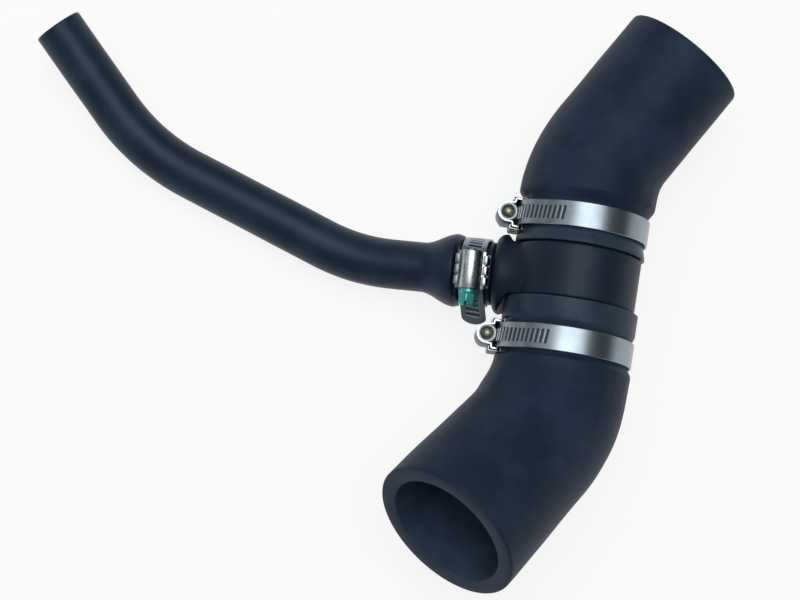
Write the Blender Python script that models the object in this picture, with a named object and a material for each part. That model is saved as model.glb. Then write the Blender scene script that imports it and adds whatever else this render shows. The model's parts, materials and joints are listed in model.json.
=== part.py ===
"""A branched rubber coolant hose: three moulded hoses on a plastic tee, held by three worm-drive clamps.

The assembly lies on a level surface as it comes to rest: the tee's main axis is level, both large hoses
touch the surface just past their clamps, and the small hose comes down to the surface on the left.
Sizes are millimetres and degrees, and MM turns them into Blender's metres. Headings are measured
anticlockwise from +X, seen from above, and pitches upwards from the level.
"""
import math

import bmesh
import bpy
from mathutils import Matrix, Vector

MM = 0.001

# Clearances between neighbouring pieces
SEAT_GAP = 0.3
LAYER_GAP = 0.25
SPIGOT_GAP = 0.3

# Main tube of the tee, from the crossing of its two axes
TEE_HEADING = 80.8
TEE_BODY_RADIUS = 22.0
UPPER_SHOULDER = 10.1
LOWER_SHOULDER = 8.8
SHOULDER_ROUND = 0.8
SPIGOT_STEP = 4.7
SPIGOT_RADIUS = TEE_BODY_RADIUS - SPIGOT_STEP
SPIGOT_END = 31.5
SPIGOT_WALL = 3.0
BEAD_HEIGHT = 0.9
BEAD_WIDTH = 3.0
BEAD_FROM_END = 2.2

# Side outlet of the tee, which leans a little towards the lower spigot
BRANCH_ANGLE = 92.0
BRANCH_PITCH = -10.0
BRANCH_BODY_RADIUS = 11.8
BRANCH_REACH = 6.0
BRANCH_SHOULDER = TEE_BODY_RADIUS + BRANCH_REACH
BRANCH_ROOT_RADIUS = 17.0
BRANCH_NECK_STEP = 2.6
BRANCH_NECK_RADIUS = BRANCH_BODY_RADIUS + BRANCH_NECK_STEP
BRANCH_NECK_REACH = 1.0
BRANCH_NECK_AT = TEE_BODY_RADIUS + BRANCH_NECK_REACH
BRANCH_EDGE_REACH = 3.0
BRANCH_SPIGOT_RADIUS = 8.0
BRANCH_SPIGOT_LENGTH = 16.5
BRANCH_SPIGOT_END = BRANCH_SHOULDER + BRANCH_SPIGOT_LENGTH
BRANCH_SPIGOT_WALL = 2.6
BRANCH_BEAD_HEIGHT = 0.8

# Upper large hose
UPPER_CORNER = 41.0
UPPER_RUN = 52.0
UPPER_HEADING = 50.5
UPPER_PITCH = 0.0
UPPER_BEND_RADIUS = 45.0
UPPER_COLLAR_STEP = 0.8
UPPER_COLLAR_RADIUS = TEE_BODY_RADIUS + UPPER_COLLAR_STEP
UPPER_SQUEEZED_WALL = 4.6
UPPER_CLAMP_RADIUS = SPIGOT_RADIUS + UPPER_SQUEEZED_WALL
UPPER_BULGE_STEP = 2.8
UPPER_BULGE_RADIUS = UPPER_CLAMP_RADIUS + UPPER_BULGE_STEP
UPPER_END_RADIUS = 22.8
UPPER_SETTLE = 10.0
UPPER_WALL = 5.0

# Lower large hose, which widens towards its mouth
LOWER_BEND_PAST_CLAMP = 5.7954
LOWER_RUN = 63.5
LOWER_HEADING = 227.0
LOWER_PITCH = 27.2
LOWER_BEND_RADIUS = 47.0
LOWER_COLLAR_STEP = 1.5
LOWER_COLLAR_RADIUS = TEE_BODY_RADIUS + LOWER_COLLAR_STEP
LOWER_SQUEEZED_WALL = 5.4
LOWER_CLAMP_RADIUS = SPIGOT_RADIUS + LOWER_SQUEEZED_WALL
LOWER_BULGE_STEP = 2.0
LOWER_BULGE_RADIUS = LOWER_CLAMP_RADIUS + LOWER_BULGE_STEP
LOWER_ELBOW_RADIUS = 26.0
LOWER_END_RADIUS = 27.0
LOWER_SETTLE = 22.0
LOWER_WALL = 5.7

# Small branch hose, belled out over the side outlet
SMALL_CORNER_REACH = 50.8
SMALL_FIRST_CORNER = BRANCH_SHOULDER + SMALL_CORNER_REACH
SMALL_MIDDLE_RUN = 86.0
SMALL_MIDDLE_HEADING = 151.9
SMALL_MIDDLE_PITCH = -1.75
SMALL_LAST_RUN = 54.5
SMALL_LAST_HEADING = 125.5
SMALL_LAST_PITCH = 12.0
SMALL_FIRST_BEND = 67.0
SMALL_SECOND_BEND = 70.0
SMALL_CLAMP_RADIUS = 11.1
SMALL_BULGE_RADIUS = 12.9
SMALL_TUBE_RADIUS = 8.8
SMALL_WALL = 3.4
SMALL_SETTLE = 12.0

# Room that the hoses' ends need round the tee
CUTTER_CLEARANCE = 8.0
CUTTER_OVERRUN = 5.0

# Common to the hoses
END_ROUND = 0.8
COLLAR_SLOPE = 1.2
LARGE_HOSE_SIDES = 28
SMALL_HOSE_SIDES = 18
LONGEST_RING_STEP = 16.0

# Worm-drive clamps
UPPER_CLAMP_AT = 19.9
LOWER_CLAMP_AT = 23.5
BRANCH_CLAMP_REACH = 6.8
BRANCH_CLAMP_AT = BRANCH_SHOULDER + BRANCH_CLAMP_REACH
LARGE_HOUSING_RISE = 2.0
BRANCH_HOUSING_TURN = 6.0
BAND_WIDTH = 8.7
BAND_THICKNESS = 0.7
GROOVE_LENGTH = 4.7
GROOVE_WIDTH = 1.15
GROOVE_FLOOR_WIDTH = 0.75
GROOVE_DEPTH = 0.42
UPPER_GROOVE_COUNT = 16
LOWER_GROOVE_COUNT = 17
BRANCH_GROOVE_COUNT = 13
TAIL_GROOVE_COUNT = 5
TAIL_LENGTH = 13.4
BRANCH_TAIL_LIFT = 27.0
BRANCH_TAIL_DRIFT = -0.16
TAIL_TIP = 4.0
SADDLE_THICKNESS = 0.5
SADDLE_LENGTH = 11.6
TAB_THICKNESS = 0.4
TAB_WIDTH = 2.4
TAB_FOLD = 1.3
HOUSING_LENGTH = 13.0
HOUSING_SHEET = 0.6
HOUSING_WEB = 0.7
WORM_PITCH = 1.8
WORM_CREST_RADIUS = 2.8
WORM_ROOT_RADIUS = 2.15
WORM_BITE = 0.25
WORM_END_PLAY = 0.3
JOURNAL_RADIUS = 1.5
JOURNAL_REACH = 0.9
HEAD_COLLAR_RADIUS = 3.05
HEAD_COLLAR_LENGTH = 1.5
HEAD_ACROSS_FLATS = 5.5
HEAD_LENGTH = 4.2
HEAD_SLOT_WIDTH = 0.9
HEAD_SLOT_DEPTH = 1.3

# Facets
TURN_SIDES = 30
WORM_SIDES = 12
RINGS_PER_THREAD = 4
ARC_STEP = 7.0
BAND_STEP = 8.0


def direction(heading, pitch):
    """Unit vector for a heading and a pitch in degrees."""
    turn = math.radians(heading)
    rise = math.radians(pitch)
    return Vector((math.cos(turn) * math.cos(rise), math.sin(turn) * math.cos(rise), math.sin(rise)))


def ease(share):
    """Smooth step from 0 to 1."""
    share = min(max(share, 0.0), 1.0)
    return share * share * (3.0 - 2.0 * share)


def read_profile(keys, length):
    """Radius at a length, eased between (length, radius) keys."""
    for (start, low), (end, high) in zip(keys, keys[1:]):
        if length <= end:
            if end - start < 1e-9:
                return high
            return low + (high - low) * ease((length - start) / (end - start))
    return keys[-1][1]


class Route:
    """A centre line of straight runs with an arc at each corner, read by its length."""

    def __init__(self, corners, bend_radii):
        self.pieces = []
        place = corners[0]
        for before, corner, after, radius in zip(corners, corners[1:], corners[2:], bend_radii):
            inward = (corner - before).normalized()
            outward = (after - corner).normalized()
            turn = inward.angle(outward)
            tangent = radius * math.tan(turn / 2.0)
            start = corner - inward * tangent
            axis = inward.cross(outward).normalized()
            centre = start + axis.cross(inward) * radius
            self.pieces.append(("run", place, inward, (start - place).length))
            self.pieces.append(("bend", start, inward, radius * turn, centre, axis, radius))
            place = corner + outward * tangent
        last = corners[-1] - place
        self.pieces.append(("run", place, last.normalized(), last.length))
        self.length = sum(piece[3] for piece in self.pieces)

    def at(self, length):
        """Point and direction at a length along the route."""
        left = length
        for piece in self.pieces:
            if left <= piece[3] or piece is self.pieces[-1]:
                break
            left -= piece[3]
        if piece[0] == "run":
            return piece[1] + piece[2] * left, piece[2].copy()
        spin = Matrix.Rotation(left / piece[6], 3, piece[5])
        return piece[4] + spin @ (piece[1] - piece[4]), spin @ piece[2]

    def bend_stations(self):
        """Lengths that follow the bends in even steps."""
        stations = []
        start = 0.0
        for piece in self.pieces:
            if piece[0] == "bend":
                steps = max(2, round(math.degrees(piece[3] / piece[6]) / ARC_STEP))
                stations += [start + piece[3] * step / steps for step in range(steps + 1)]
            start += piece[3]
        return stations


def make_material(name, colour, roughness, metallic):
    """A Principled material."""
    material = bpy.data.materials.new(name)
    material.use_nodes = True
    shader = material.node_tree.nodes["Principled BSDF"]
    shader.inputs["Base Color"].default_value = (*colour, 1.0)
    shader.inputs["Roughness"].default_value = roughness
    shader.inputs["Metallic"].default_value = metallic
    return material


def make_object(name, shape, material, parent, sharp_angle=35.0):
    """Turn a bmesh in millimetres into an object in metres, shaded smooth up to the sharp angle."""
    bmesh.ops.recalc_face_normals(shape, faces=shape.faces)
    bmesh.ops.scale(shape, vec=Vector((MM, MM, MM)), verts=shape.verts)
    mesh = bpy.data.meshes.new(name)
    shape.to_mesh(mesh)
    shape.free()
    mesh.shade_smooth()
    mesh.set_sharp_from_angle(angle=math.radians(sharp_angle))
    mesh.materials.append(material)
    piece = bpy.data.objects.new(name, mesh)
    bpy.context.collection.objects.link(piece)
    piece.parent = parent
    return piece


def make_cutter(name, shape, parent):
    """A hidden object that only cuts or joins."""
    cutter = make_object(name, shape, MATERIALS["guide"], parent)
    cutter.hide_render = True
    cutter.display_type = "WIRE"
    return cutter


def combine(piece, operation, other):
    """Add an exact Boolean modifier."""
    modifier = piece.modifiers.new(other.name, "BOOLEAN")
    modifier.operation = operation
    modifier.solver = "EXACT"
    modifier.object = other


def skin_rings(shape, rings, closed_ends):
    """Join rings of vertices by quads, and close both ends by flat faces or to each other."""
    for ring, following in zip(rings, rings[1:]):
        for index in range(len(ring)):
            after = (index + 1) % len(ring)
            shape.faces.new((ring[index], ring[after], following[after], following[index]))
    if closed_ends:
        shape.faces.new(rings[0])
        shape.faces.new(rings[-1])
        return
    for index in range(len(rings[0])):
        after = (index + 1) % len(rings[0])
        shape.faces.new((rings[-1][index], rings[-1][after], rings[0][after], rings[0][index]))


def turned(profile, sides, frame):
    """Solid of revolution: (distance, radius) pairs along the frame's X axis."""
    shape = bmesh.new()
    rings = []
    for distance, radius in profile:
        ring = []
        for side in range(sides):
            angle = math.tau * side / sides
            spot = Vector((distance, radius * math.cos(angle), radius * math.sin(angle)))
            ring.append(shape.verts.new(frame @ spot))
        rings.append(ring)
    skin_rings(shape, rings, closed_ends=True)
    return shape


def prism(outline, start, end):
    """Extrude an XZ outline along Y."""
    shape = bmesh.new()
    rings = [[shape.verts.new((x, y, z)) for x, z in outline] for y in (start, end)]
    skin_rings(shape, rings, closed_ends=True)
    return shape


def axis_frame(origin, along, up):
    """Matrix whose X axis runs along a direction and whose Z axis leans to up."""
    x_axis = along.normalized()
    y_axis = up.cross(x_axis).normalized()
    z_axis = x_axis.cross(y_axis)
    frame = Matrix((x_axis, y_axis, z_axis)).transposed().to_4x4()
    frame.translation = origin
    return frame


HOUSING_WALL = BAND_WIDTH / 2.0 + LAYER_GAP
SADDLE_HALF_WIDTH = HOUSING_WALL + HOUSING_SHEET + LAYER_GAP + TAB_THICKNESS
TEE_UP = direction(TEE_HEADING, 0.0)
BRANCH_OUT = direction(TEE_HEADING + BRANCH_ANGLE, BRANCH_PITCH)
UP = Vector((0.0, 0.0, 1.0))


def bead_profile(radius, height, end):
    """A spigot from its bead to its end face, as (distance, radius) pairs."""
    centre = end - BEAD_FROM_END
    half = BEAD_WIDTH / 2.0
    return [
        (centre - half, radius),
        (centre - half * 0.4, radius + height),
        (centre + half * 0.4, radius + height),
        (centre + half, radius),
        (end - 0.3, radius),
        (end, radius - 0.5),
    ]


def shoulder_profile(shoulder):
    """The tee's body from near its middle to the face that a hose butts on."""
    return [
        (shoulder - SHOULDER_ROUND, TEE_BODY_RADIUS),
        (shoulder - SHOULDER_ROUND * 0.3, TEE_BODY_RADIUS - SHOULDER_ROUND * 0.3),
        (shoulder, TEE_BODY_RADIUS - SHOULDER_ROUND),
        (shoulder, SPIGOT_RADIUS),
    ]


def make_tee(parent):
    """Tee connector: a turned main tube joined to a flared side outlet, bored through both ways."""
    main = axis_frame(Vector(), TEE_UP, UP)
    side = axis_frame(Vector(), BRANCH_OUT, UP)
    half = shoulder_profile(UPPER_SHOULDER) + bead_profile(SPIGOT_RADIUS, BEAD_HEIGHT, SPIGOT_END)
    other = shoulder_profile(LOWER_SHOULDER) + bead_profile(SPIGOT_RADIUS, BEAD_HEIGHT, SPIGOT_END)
    profile = [(-distance, radius) for distance, radius in reversed(other)] + half
    tee = make_object("tee_connector", turned(profile, TURN_SIDES, main), MATERIALS["plastic"], parent)

    root = [(SPIGOT_RADIUS - SPIGOT_WALL - 3.0, BRANCH_ROOT_RADIUS)]
    flare_start = math.sqrt(TEE_BODY_RADIUS ** 2 - BRANCH_ROOT_RADIUS ** 2)
    for share in (0.0, 0.35, 0.7, 1.0):
        distance = flare_start + (BRANCH_NECK_AT - flare_start) * share
        fall = share * (2.0 - share)
        root.append((distance, BRANCH_ROOT_RADIUS + (BRANCH_NECK_RADIUS - BRANCH_ROOT_RADIUS) * fall))
    edge = BRANCH_SHOULDER - BRANCH_EDGE_REACH
    drop = BRANCH_NECK_RADIUS - BRANCH_BODY_RADIUS
    for turn in (0.0, 30.0, 60.0, 90.0):
        angle = math.radians(turn)
        root.append((edge + BRANCH_EDGE_REACH * math.sin(angle), BRANCH_BODY_RADIUS + drop * math.cos(angle)))
    root.append((BRANCH_SHOULDER, BRANCH_SPIGOT_RADIUS))
    root += bead_profile(BRANCH_SPIGOT_RADIUS, BRANCH_BEAD_HEIGHT, BRANCH_SPIGOT_END)
    outlet = make_cutter("tee_outlet_shape", turned(root, 28, side), parent)
    combine(tee, "UNION", outlet)

    clear = TEE_BODY_RADIUS + CUTTER_CLEARANCE
    for shoulder, sign in ((UPPER_SHOULDER, 1.0), (LOWER_SHOULDER, -1.0)):
        reach = SPIGOT_END + CUTTER_OVERRUN
        ring = [
            (sign * shoulder, max(UPPER_COLLAR_RADIUS, LOWER_COLLAR_RADIUS) + SEAT_GAP + 0.4),
            (sign * reach, clear),
            (sign * reach, SPIGOT_RADIUS),
            (sign * shoulder, SPIGOT_RADIUS),
        ]
        name = "upper_hose_room" if sign > 0.0 else "lower_hose_room"
        shape = bmesh.new()
        rings = []
        for distance, radius in ring:
            loop = []
            for side_index in range(TURN_SIDES):
                angle = math.tau * side_index / TURN_SIDES
                spot = Vector((distance, radius * math.cos(angle), radius * math.sin(angle)))
                loop.append(shape.verts.new(main @ spot))
            rings.append(loop)
        skin_rings(shape, rings, closed_ends=False)
        cutter = make_cutter(name, shape, parent)
        combine(outlet, "DIFFERENCE", cutter)

    bore = SPIGOT_RADIUS - SPIGOT_WALL
    through = [(-SPIGOT_END - 2.0, bore), (SPIGOT_END + 2.0, bore)]
    combine(tee, "DIFFERENCE", make_cutter("tee_bore_shape", turned(through, TURN_SIDES, main), parent))
    side_bore = BRANCH_SPIGOT_RADIUS - BRANCH_SPIGOT_WALL
    passage = [(0.0, side_bore), (BRANCH_SPIGOT_END + 2.0, side_bore)]
    combine(tee, "DIFFERENCE", make_cutter("outlet_bore_shape", turned(passage, 20, side), parent))
    return tee


def hose_stations(route, outer, inner, longest):
    """Lengths of the rings: profile keys, bends and an even fill."""
    marks = sorted(set([key[0] for key in outer + inner] + route.bend_stations()))
    marks = [mark for mark in marks if 0.0 <= mark <= route.length + 1e-6]
    kept = [marks[0]]
    for mark in marks[1:]:
        if mark - kept[-1] > 0.45:
            kept.append(mark)
    kept[-1] = route.length
    filled = [kept[0]]
    for mark in kept[1:]:
        parts = math.ceil((mark - filled[-1]) / longest)
        start = filled[-1]
        filled += [start + (mark - start) * part / parts for part in range(1, parts + 1)]
    return filled


def make_hose(name, route, outer, inner, sides, parent, longest):
    """A hose wall swept along its route between an outer and an inner profile."""
    shape = bmesh.new()
    outside = []
    inside = []
    normal = None
    previous = None
    for length in hose_stations(route, outer, inner, longest):
        point, along = route.at(length)
        if normal is None:
            normal = along.orthogonal().normalized()
        else:
            normal = previous.rotation_difference(along) @ normal
        previous = along
        binormal = along.cross(normal)
        for radius, rings in ((read_profile(outer, length), outside), (read_profile(inner, length), inside)):
            ring = []
            for side in range(sides):
                angle = math.tau * side / sides
                spoke = normal * math.cos(angle) + binormal * math.sin(angle)
                ring.append(shape.verts.new(point + spoke * radius))
            rings.append(ring)
    skin_rings(shape, outside + inside[::-1], closed_ends=False)
    return make_object(name, shape, MATERIALS["rubber"], parent)


def belled_profiles(start, clamp_at, spigot_end, radii, bore, height, total, end_wall, settle):
    """Outer and inner keys of a hose that is pushed on a beaded spigot and squeezed by a clamp."""
    collar, squeezed, bulge, settled, end_radius = radii
    bead = spigot_end - BEAD_FROM_END - start
    low = clamp_at - SADDLE_HALF_WIDTH - start
    high = clamp_at + SADDLE_HALF_WIDTH - start
    spigot = bore + SPIGOT_GAP
    if low > END_ROUND + COLLAR_SLOPE * 2.0:
        outer = [(0.0, collar - END_ROUND * 0.7), (END_ROUND, collar), (low - COLLAR_SLOPE, collar)]
        outer += [(low - SEAT_GAP, squeezed)]
    else:
        outer = [(0.0, squeezed - END_ROUND * 0.7), (END_ROUND, squeezed)]
    outer += [
        (high + SEAT_GAP, squeezed),
        (max(bead, high + SEAT_GAP + COLLAR_SLOPE), bulge),
        (bead + settle, settled),
        (total - END_ROUND, end_radius),
        (total, end_radius - END_ROUND * 0.6),
    ]
    inner = [
        (0.0, spigot),
        (bead - BEAD_WIDTH * 0.75, spigot),
        (bead - BEAD_WIDTH * 0.35, spigot + height),
        (bead + BEAD_WIDTH * 0.8, spigot + height),
        (bead + settle, settled - end_wall),
        (total, end_radius - end_wall),
    ]
    return outer, inner


def make_upper_hose(parent):
    """Upper hose: straight on the tee, then one bend to a plain cut end."""
    start = UPPER_SHOULDER + SEAT_GAP
    corner = TEE_UP * UPPER_CORNER
    end = corner + direction(UPPER_HEADING, UPPER_PITCH) * UPPER_RUN
    route = Route([TEE_UP * start, corner, end], [UPPER_BEND_RADIUS])
    radii = (
        UPPER_COLLAR_RADIUS, UPPER_CLAMP_RADIUS, UPPER_BULGE_RADIUS, UPPER_END_RADIUS, UPPER_END_RADIUS,
    )
    outer, inner = belled_profiles(
        start, UPPER_CLAMP_AT, SPIGOT_END, radii, SPIGOT_RADIUS, BEAD_HEIGHT,
        route.length, UPPER_WALL, UPPER_SETTLE,
    )
    return make_hose("upper_hose", route, outer, inner, LARGE_HOSE_SIDES, parent, LONGEST_RING_STEP)


def make_lower_hose(parent):
    """Lower hose: straight on the tee, then an elbow that widens to its mouth."""
    start = LOWER_SHOULDER + SEAT_GAP
    down = -TEE_UP
    along = direction(LOWER_HEADING, LOWER_PITCH)
    tangent = LOWER_BEND_RADIUS * math.tan(down.angle(along) / 2.0)
    corner = down * (LOWER_CLAMP_AT + LOWER_BEND_PAST_CLAMP + tangent)
    end = corner + along * LOWER_RUN
    route = Route([down * start, corner, end], [LOWER_BEND_RADIUS])
    radii = (
        LOWER_COLLAR_RADIUS, LOWER_CLAMP_RADIUS, LOWER_BULGE_RADIUS, LOWER_ELBOW_RADIUS, LOWER_END_RADIUS,
    )
    outer, inner = belled_profiles(
        start, LOWER_CLAMP_AT, SPIGOT_END, radii, SPIGOT_RADIUS, BEAD_HEIGHT,
        route.length, LOWER_WALL, LOWER_SETTLE,
    )
    return make_hose("lower_hose", route, outer, inner, LARGE_HOSE_SIDES, parent, LONGEST_RING_STEP)


def make_branch_hose(parent):
    """Small hose: belled end on the side outlet, then two bends to a plain cut end."""
    start = BRANCH_SHOULDER + SEAT_GAP
    first = BRANCH_OUT * SMALL_FIRST_CORNER
    second = first + direction(SMALL_MIDDLE_HEADING, SMALL_MIDDLE_PITCH) * SMALL_MIDDLE_RUN
    end = second + direction(SMALL_LAST_HEADING, SMALL_LAST_PITCH) * SMALL_LAST_RUN
    route = Route([BRANCH_OUT * start, first, second, end], [SMALL_FIRST_BEND, SMALL_SECOND_BEND])
    radii = (
        SMALL_CLAMP_RADIUS, SMALL_CLAMP_RADIUS, SMALL_BULGE_RADIUS, SMALL_TUBE_RADIUS, SMALL_TUBE_RADIUS,
    )
    outer, inner = belled_profiles(
        start, BRANCH_CLAMP_AT, BRANCH_SPIGOT_END, radii, BRANCH_SPIGOT_RADIUS, BRANCH_BEAD_HEIGHT,
        route.length, SMALL_WALL, SMALL_SETTLE,
    )
    return make_hose("branch_hose", route, outer, inner, SMALL_HOSE_SIDES, parent, LONGEST_RING_STEP)


class Clamp:
    """One worm-drive clamp: hose along local X, screw along Y with its head at +Y, housing up at +Z."""

    def __init__(self, label, hose_radius, grooves, frame, parent, tail_lift=0.0, tail_drift=0.0):
        self.label = label
        self.grooves = grooves
        self.tail_lift = math.radians(tail_lift)
        self.tail_drift = tail_drift
        self.saddle_radius = hose_radius + SEAT_GAP
        self.ring_radius = hose_radius + SEAT_GAP + BAND_THICKNESS / 2.0
        lower = self.saddle_radius + SADDLE_THICKNESS + LAYER_GAP
        self.under_radius = lower + BAND_THICKNESS / 2.0
        self.over_radius = lower + BAND_THICKNESS + LAYER_GAP + BAND_THICKNESS / 2.0
        self.band_top = self.over_radius + BAND_THICKNESS / 2.0
        self.screw_height = self.band_top - WORM_BITE + WORM_CREST_RADIUS
        self.base = bpy.data.objects.new(label + "_place", None)
        bpy.context.collection.objects.link(self.base)
        self.base.parent = parent
        placed = frame.copy()
        placed.translation = frame.translation * MM
        self.base.matrix_local = placed

    def strip_radius(self, angle):
        """Centre radius of the band at an angle in radians: 0 is under the housing, one turn comes back over."""
        saddle_edge = SADDLE_LENGTH / 2.0 / self.saddle_radius + 0.06
        change = 11.0 / self.saddle_radius
        if angle < math.pi:
            return self.under_radius + (self.ring_radius - self.under_radius) * ease((angle - saddle_edge) / change)
        left = math.tau - angle
        return self.over_radius + (self.ring_radius - self.over_radius) * ease((left - saddle_edge) / change)

    def groove_angles(self, reach):
        """Angles between the grooves, a worm pitch apart along the band, with a groove centred under the worm."""
        half_pitch = WORM_PITCH / 2.0
        angle = math.tau - half_pitch / self.over_radius
        before = []
        for _ in range(self.grooves):
            before.append(angle)
            angle -= WORM_PITCH / self.strip_radius(angle)
        after = []
        angle = math.tau + half_pitch / self.over_radius
        while angle < math.tau + reach:
            after.append(angle)
            angle += WORM_PITCH / self.over_radius
        return before[::-1] + after

    def strip_stations(self):
        """Centre points of the band, each with whether grooves lie beside it."""
        reach = HOUSING_LENGTH / 2.0 / self.over_radius
        groove_angles = self.groove_angles(reach)
        first_groove = groove_angles[0]
        start = -(SADDLE_LENGTH / 2.0 - 1.0) / self.under_radius
        plain = max(8, round(math.degrees(first_groove - start) / BAND_STEP))
        path = []
        for step in range(plain):
            angle = start + (first_groove - start) * step / plain
            path.append((self.polar(angle, self.strip_radius(angle)), False))
        for angle in groove_angles:
            path.append((self.polar(angle, self.strip_radius(angle)), True))
        exit_angle = groove_angles[-1]
        place = self.polar(exit_angle, self.over_radius)
        fall = exit_angle - math.tau - self.tail_lift
        along = Vector((self.tail_drift, math.cos(fall), -math.sin(fall))).normalized()
        for step in range(1, TAIL_GROOVE_COUNT + 1):
            path.append((place + along * WORM_PITCH * step, True))
        tip = place + along * TAIL_LENGTH
        for share in (0.0, 0.45, 0.75, 0.93, 1.0):
            path.append((tip - along * TAIL_TIP * (1.0 - share), False))
        return path

    def polar(self, angle, radius):
        """Point in the YZ plane at an angle from +Z towards +Y."""
        return Vector((0.0, radius * math.sin(angle), radius * math.cos(angle)))

    def make_band(self):
        """The grooved strip, bent round the hose and back over its own fixed end."""
        path = self.strip_stations()
        shape = bmesh.new()
        half_width = BAND_WIDTH / 2.0
        slope = WORM_PITCH / (math.tau * WORM_CREST_RADIUS)
        rows = []
        for index, (point, _) in enumerate(path):
            before = path[max(index - 1, 0)][0]
            after = path[min(index + 1, len(path) - 1)][0]
            along = (after - before).normalized()
            outward = Vector((1.0, 0.0, 0.0)).cross(along)
            width = half_width
            tail = (path[-1][0] - point).length
            if index > len(path) - 7 and tail < TAIL_TIP:
                width = half_width * max(0.32, math.sqrt(1.0 - (1.0 - tail / TAIL_TIP) ** 2))
            lift = outward * (BAND_THICKNESS / 2.0)
            side = Vector((width, 0.0, 0.0))
            corners = [point - side - lift, point + side - lift, point + side + lift, point - side + lift]
            rows.append(([shape.verts.new(corner) for corner in corners], point, along, lift))
        for index in range(len(rows) - 1):
            here, point, _, lift = rows[index]
            there, following, _, lift_there = rows[index + 1]
            shape.faces.new((here[1], here[2], there[2], there[1]))
            shape.faces.new((here[3], here[0], there[0], there[3]))
            if not path[index][1] or not path[index + 1][1]:
                shape.faces.new((here[0], here[1], there[1], there[0]))
                shape.faces.new((here[2], here[3], there[3], there[2]))
                continue
            middle = (point + following) / 2.0
            along = (following - point).normalized()
            outward = (lift + lift_there) / 2.0
            shape.faces.new((here[0], here[1], there[1], there[0]))
            self.press_groove(shape, (here[3], here[2], there[2], there[3]), middle, along, outward, slope)
        shape.faces.new(rows[0][0])
        shape.faces.new(rows[-1][0])
        return make_object(self.label + "_band", shape, MATERIALS["steel"], self.base)

    def press_groove(self, shape, rim, middle, along, outward, slope):
        """One pitch of the strip's outer face with a slanted groove pressed into it."""
        loops = []
        for width, level in ((GROOVE_WIDTH, 1.0), (GROOVE_FLOOR_WIDTH, 1.0 - GROOVE_DEPTH / BAND_THICKNESS * 2.0)):
            loop = []
            for across, step in ((-1.0, -1.0), (1.0, -1.0), (1.0, 1.0), (-1.0, 1.0)):
                x = across * GROOVE_LENGTH / 2.0
                shift = step * width / 2.0 - x * slope
                loop.append(shape.verts.new(middle + Vector((x, 0.0, 0.0)) + along * shift + outward * level))
            loops.append(loop)
        high, low = loops
        for index in range(4):
            after = (index + 1) % 4
            shape.faces.new((rim[index], rim[after], high[after], high[index]))
            shape.faces.new((high[index], high[after], low[after], low[index]))
        shape.faces.new(low)

    def make_housing(self):
        """Formed cap: a dome over the worm, flanges over the band and side walls down to the saddle."""
        inner = WORM_CREST_RADIUS + SEAT_GAP
        outer = inner + HOUSING_SHEET
        wall = HOUSING_WALL
        flange = self.band_top + LAYER_GAP
        foot = self.saddle_radius + SADDLE_THICKNESS + LAYER_GAP
        arc = [math.pi * step / 8.0 for step in range(9)]
        outside = [(outer * math.cos(a), self.screw_height + outer * math.sin(a)) for a in arc]
        inside = [(inner * math.cos(a), self.screw_height + inner * math.sin(a)) for a in reversed(arc)]
        outline = [(wall + HOUSING_SHEET, foot), (wall + HOUSING_SHEET, flange + HOUSING_SHEET)]
        outline += [(outer, flange + HOUSING_SHEET)] + outside + [(-outer, flange + HOUSING_SHEET)]
        outline += [(-wall - HOUSING_SHEET, flange + HOUSING_SHEET), (-wall - HOUSING_SHEET, foot)]
        outline += [(-wall, foot), (-wall, flange), (-inner, flange)] + inside + [(inner, flange)]
        outline += [(wall, flange), (wall, foot)]
        tip = -HOUSING_LENGTH / 2.0
        cap = make_object(
            self.label + "_housing", prism(outline, tip, -tip), MATERIALS["zinc"], self.base
        )
        web = [(outer * 0.95 * math.cos(a), self.screw_height + outer * 0.95 * math.sin(a)) for a in arc]
        web += [(-outer * 0.95, flange + HOUSING_SHEET / 2.0), (outer * 0.95, flange + HOUSING_SHEET / 2.0)]
        plate = make_cutter(self.label + "_web_shape", prism(web, tip + 0.1, tip + HOUSING_WEB), self.base)
        combine(cap, "UNION", plate)
        hole = JOURNAL_RADIUS + SEAT_GAP
        frame = axis_frame(Vector((0.0, 0.0, self.screw_height)), Vector((0.0, 1.0, 0.0)), UP)
        drill = turned([(tip - 1.0, hole), (tip + HOUSING_WEB + 0.5, hole)], 16, frame)
        combine(cap, "DIFFERENCE", make_cutter(self.label + "_journal_hole_shape", drill, self.base))
        return cap

    def make_saddle(self):
        """Curved plate on the hose, with three tabs a side folded over the housing's flanges."""
        half = SADDLE_HALF_WIDTH
        reach = SADDLE_LENGTH / 2.0 / self.saddle_radius
        shape = bmesh.new()
        rings = []
        for step in range(9):
            angle = -reach + 2.0 * reach * step / 8.0
            low = self.polar(angle, self.saddle_radius)
            high = self.polar(angle, self.saddle_radius + SADDLE_THICKNESS)
            side = Vector((half, 0.0, 0.0))
            rings.append([shape.verts.new(spot) for spot in (low - side, low + side, high + side, high - side)])
        skin_rings(shape, rings, closed_ends=True)
        saddle = make_object(self.label + "_saddle", shape, MATERIALS["zinc"], self.base)
        over = self.band_top + LAYER_GAP + HOUSING_SHEET + LAYER_GAP
        tabs = bmesh.new()
        for sign in (-1.0, 1.0):
            edge = sign * half
            face = sign * (half - TAB_THICKNESS)
            fold = sign * (half - TAB_THICKNESS - TAB_FOLD)
            for middle in (-HOUSING_LENGTH * 0.29, 0.0, HOUSING_LENGTH * 0.29):
                turn = math.asin(middle / self.saddle_radius)
                root = self.saddle_radius * math.cos(turn) + SADDLE_THICKNESS * 0.4
                outline = [(edge, root), (edge, over + TAB_THICKNESS), (fold, over + TAB_THICKNESS)]
                outline += [(fold, over), (face, over), (face, root)]
                rings = [
                    [tabs.verts.new((x, y, z)) for x, z in outline]
                    for y in (middle - TAB_WIDTH / 2.0, middle + TAB_WIDTH / 2.0)
                ]
                skin_rings(tabs, rings, closed_ends=True)
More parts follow.
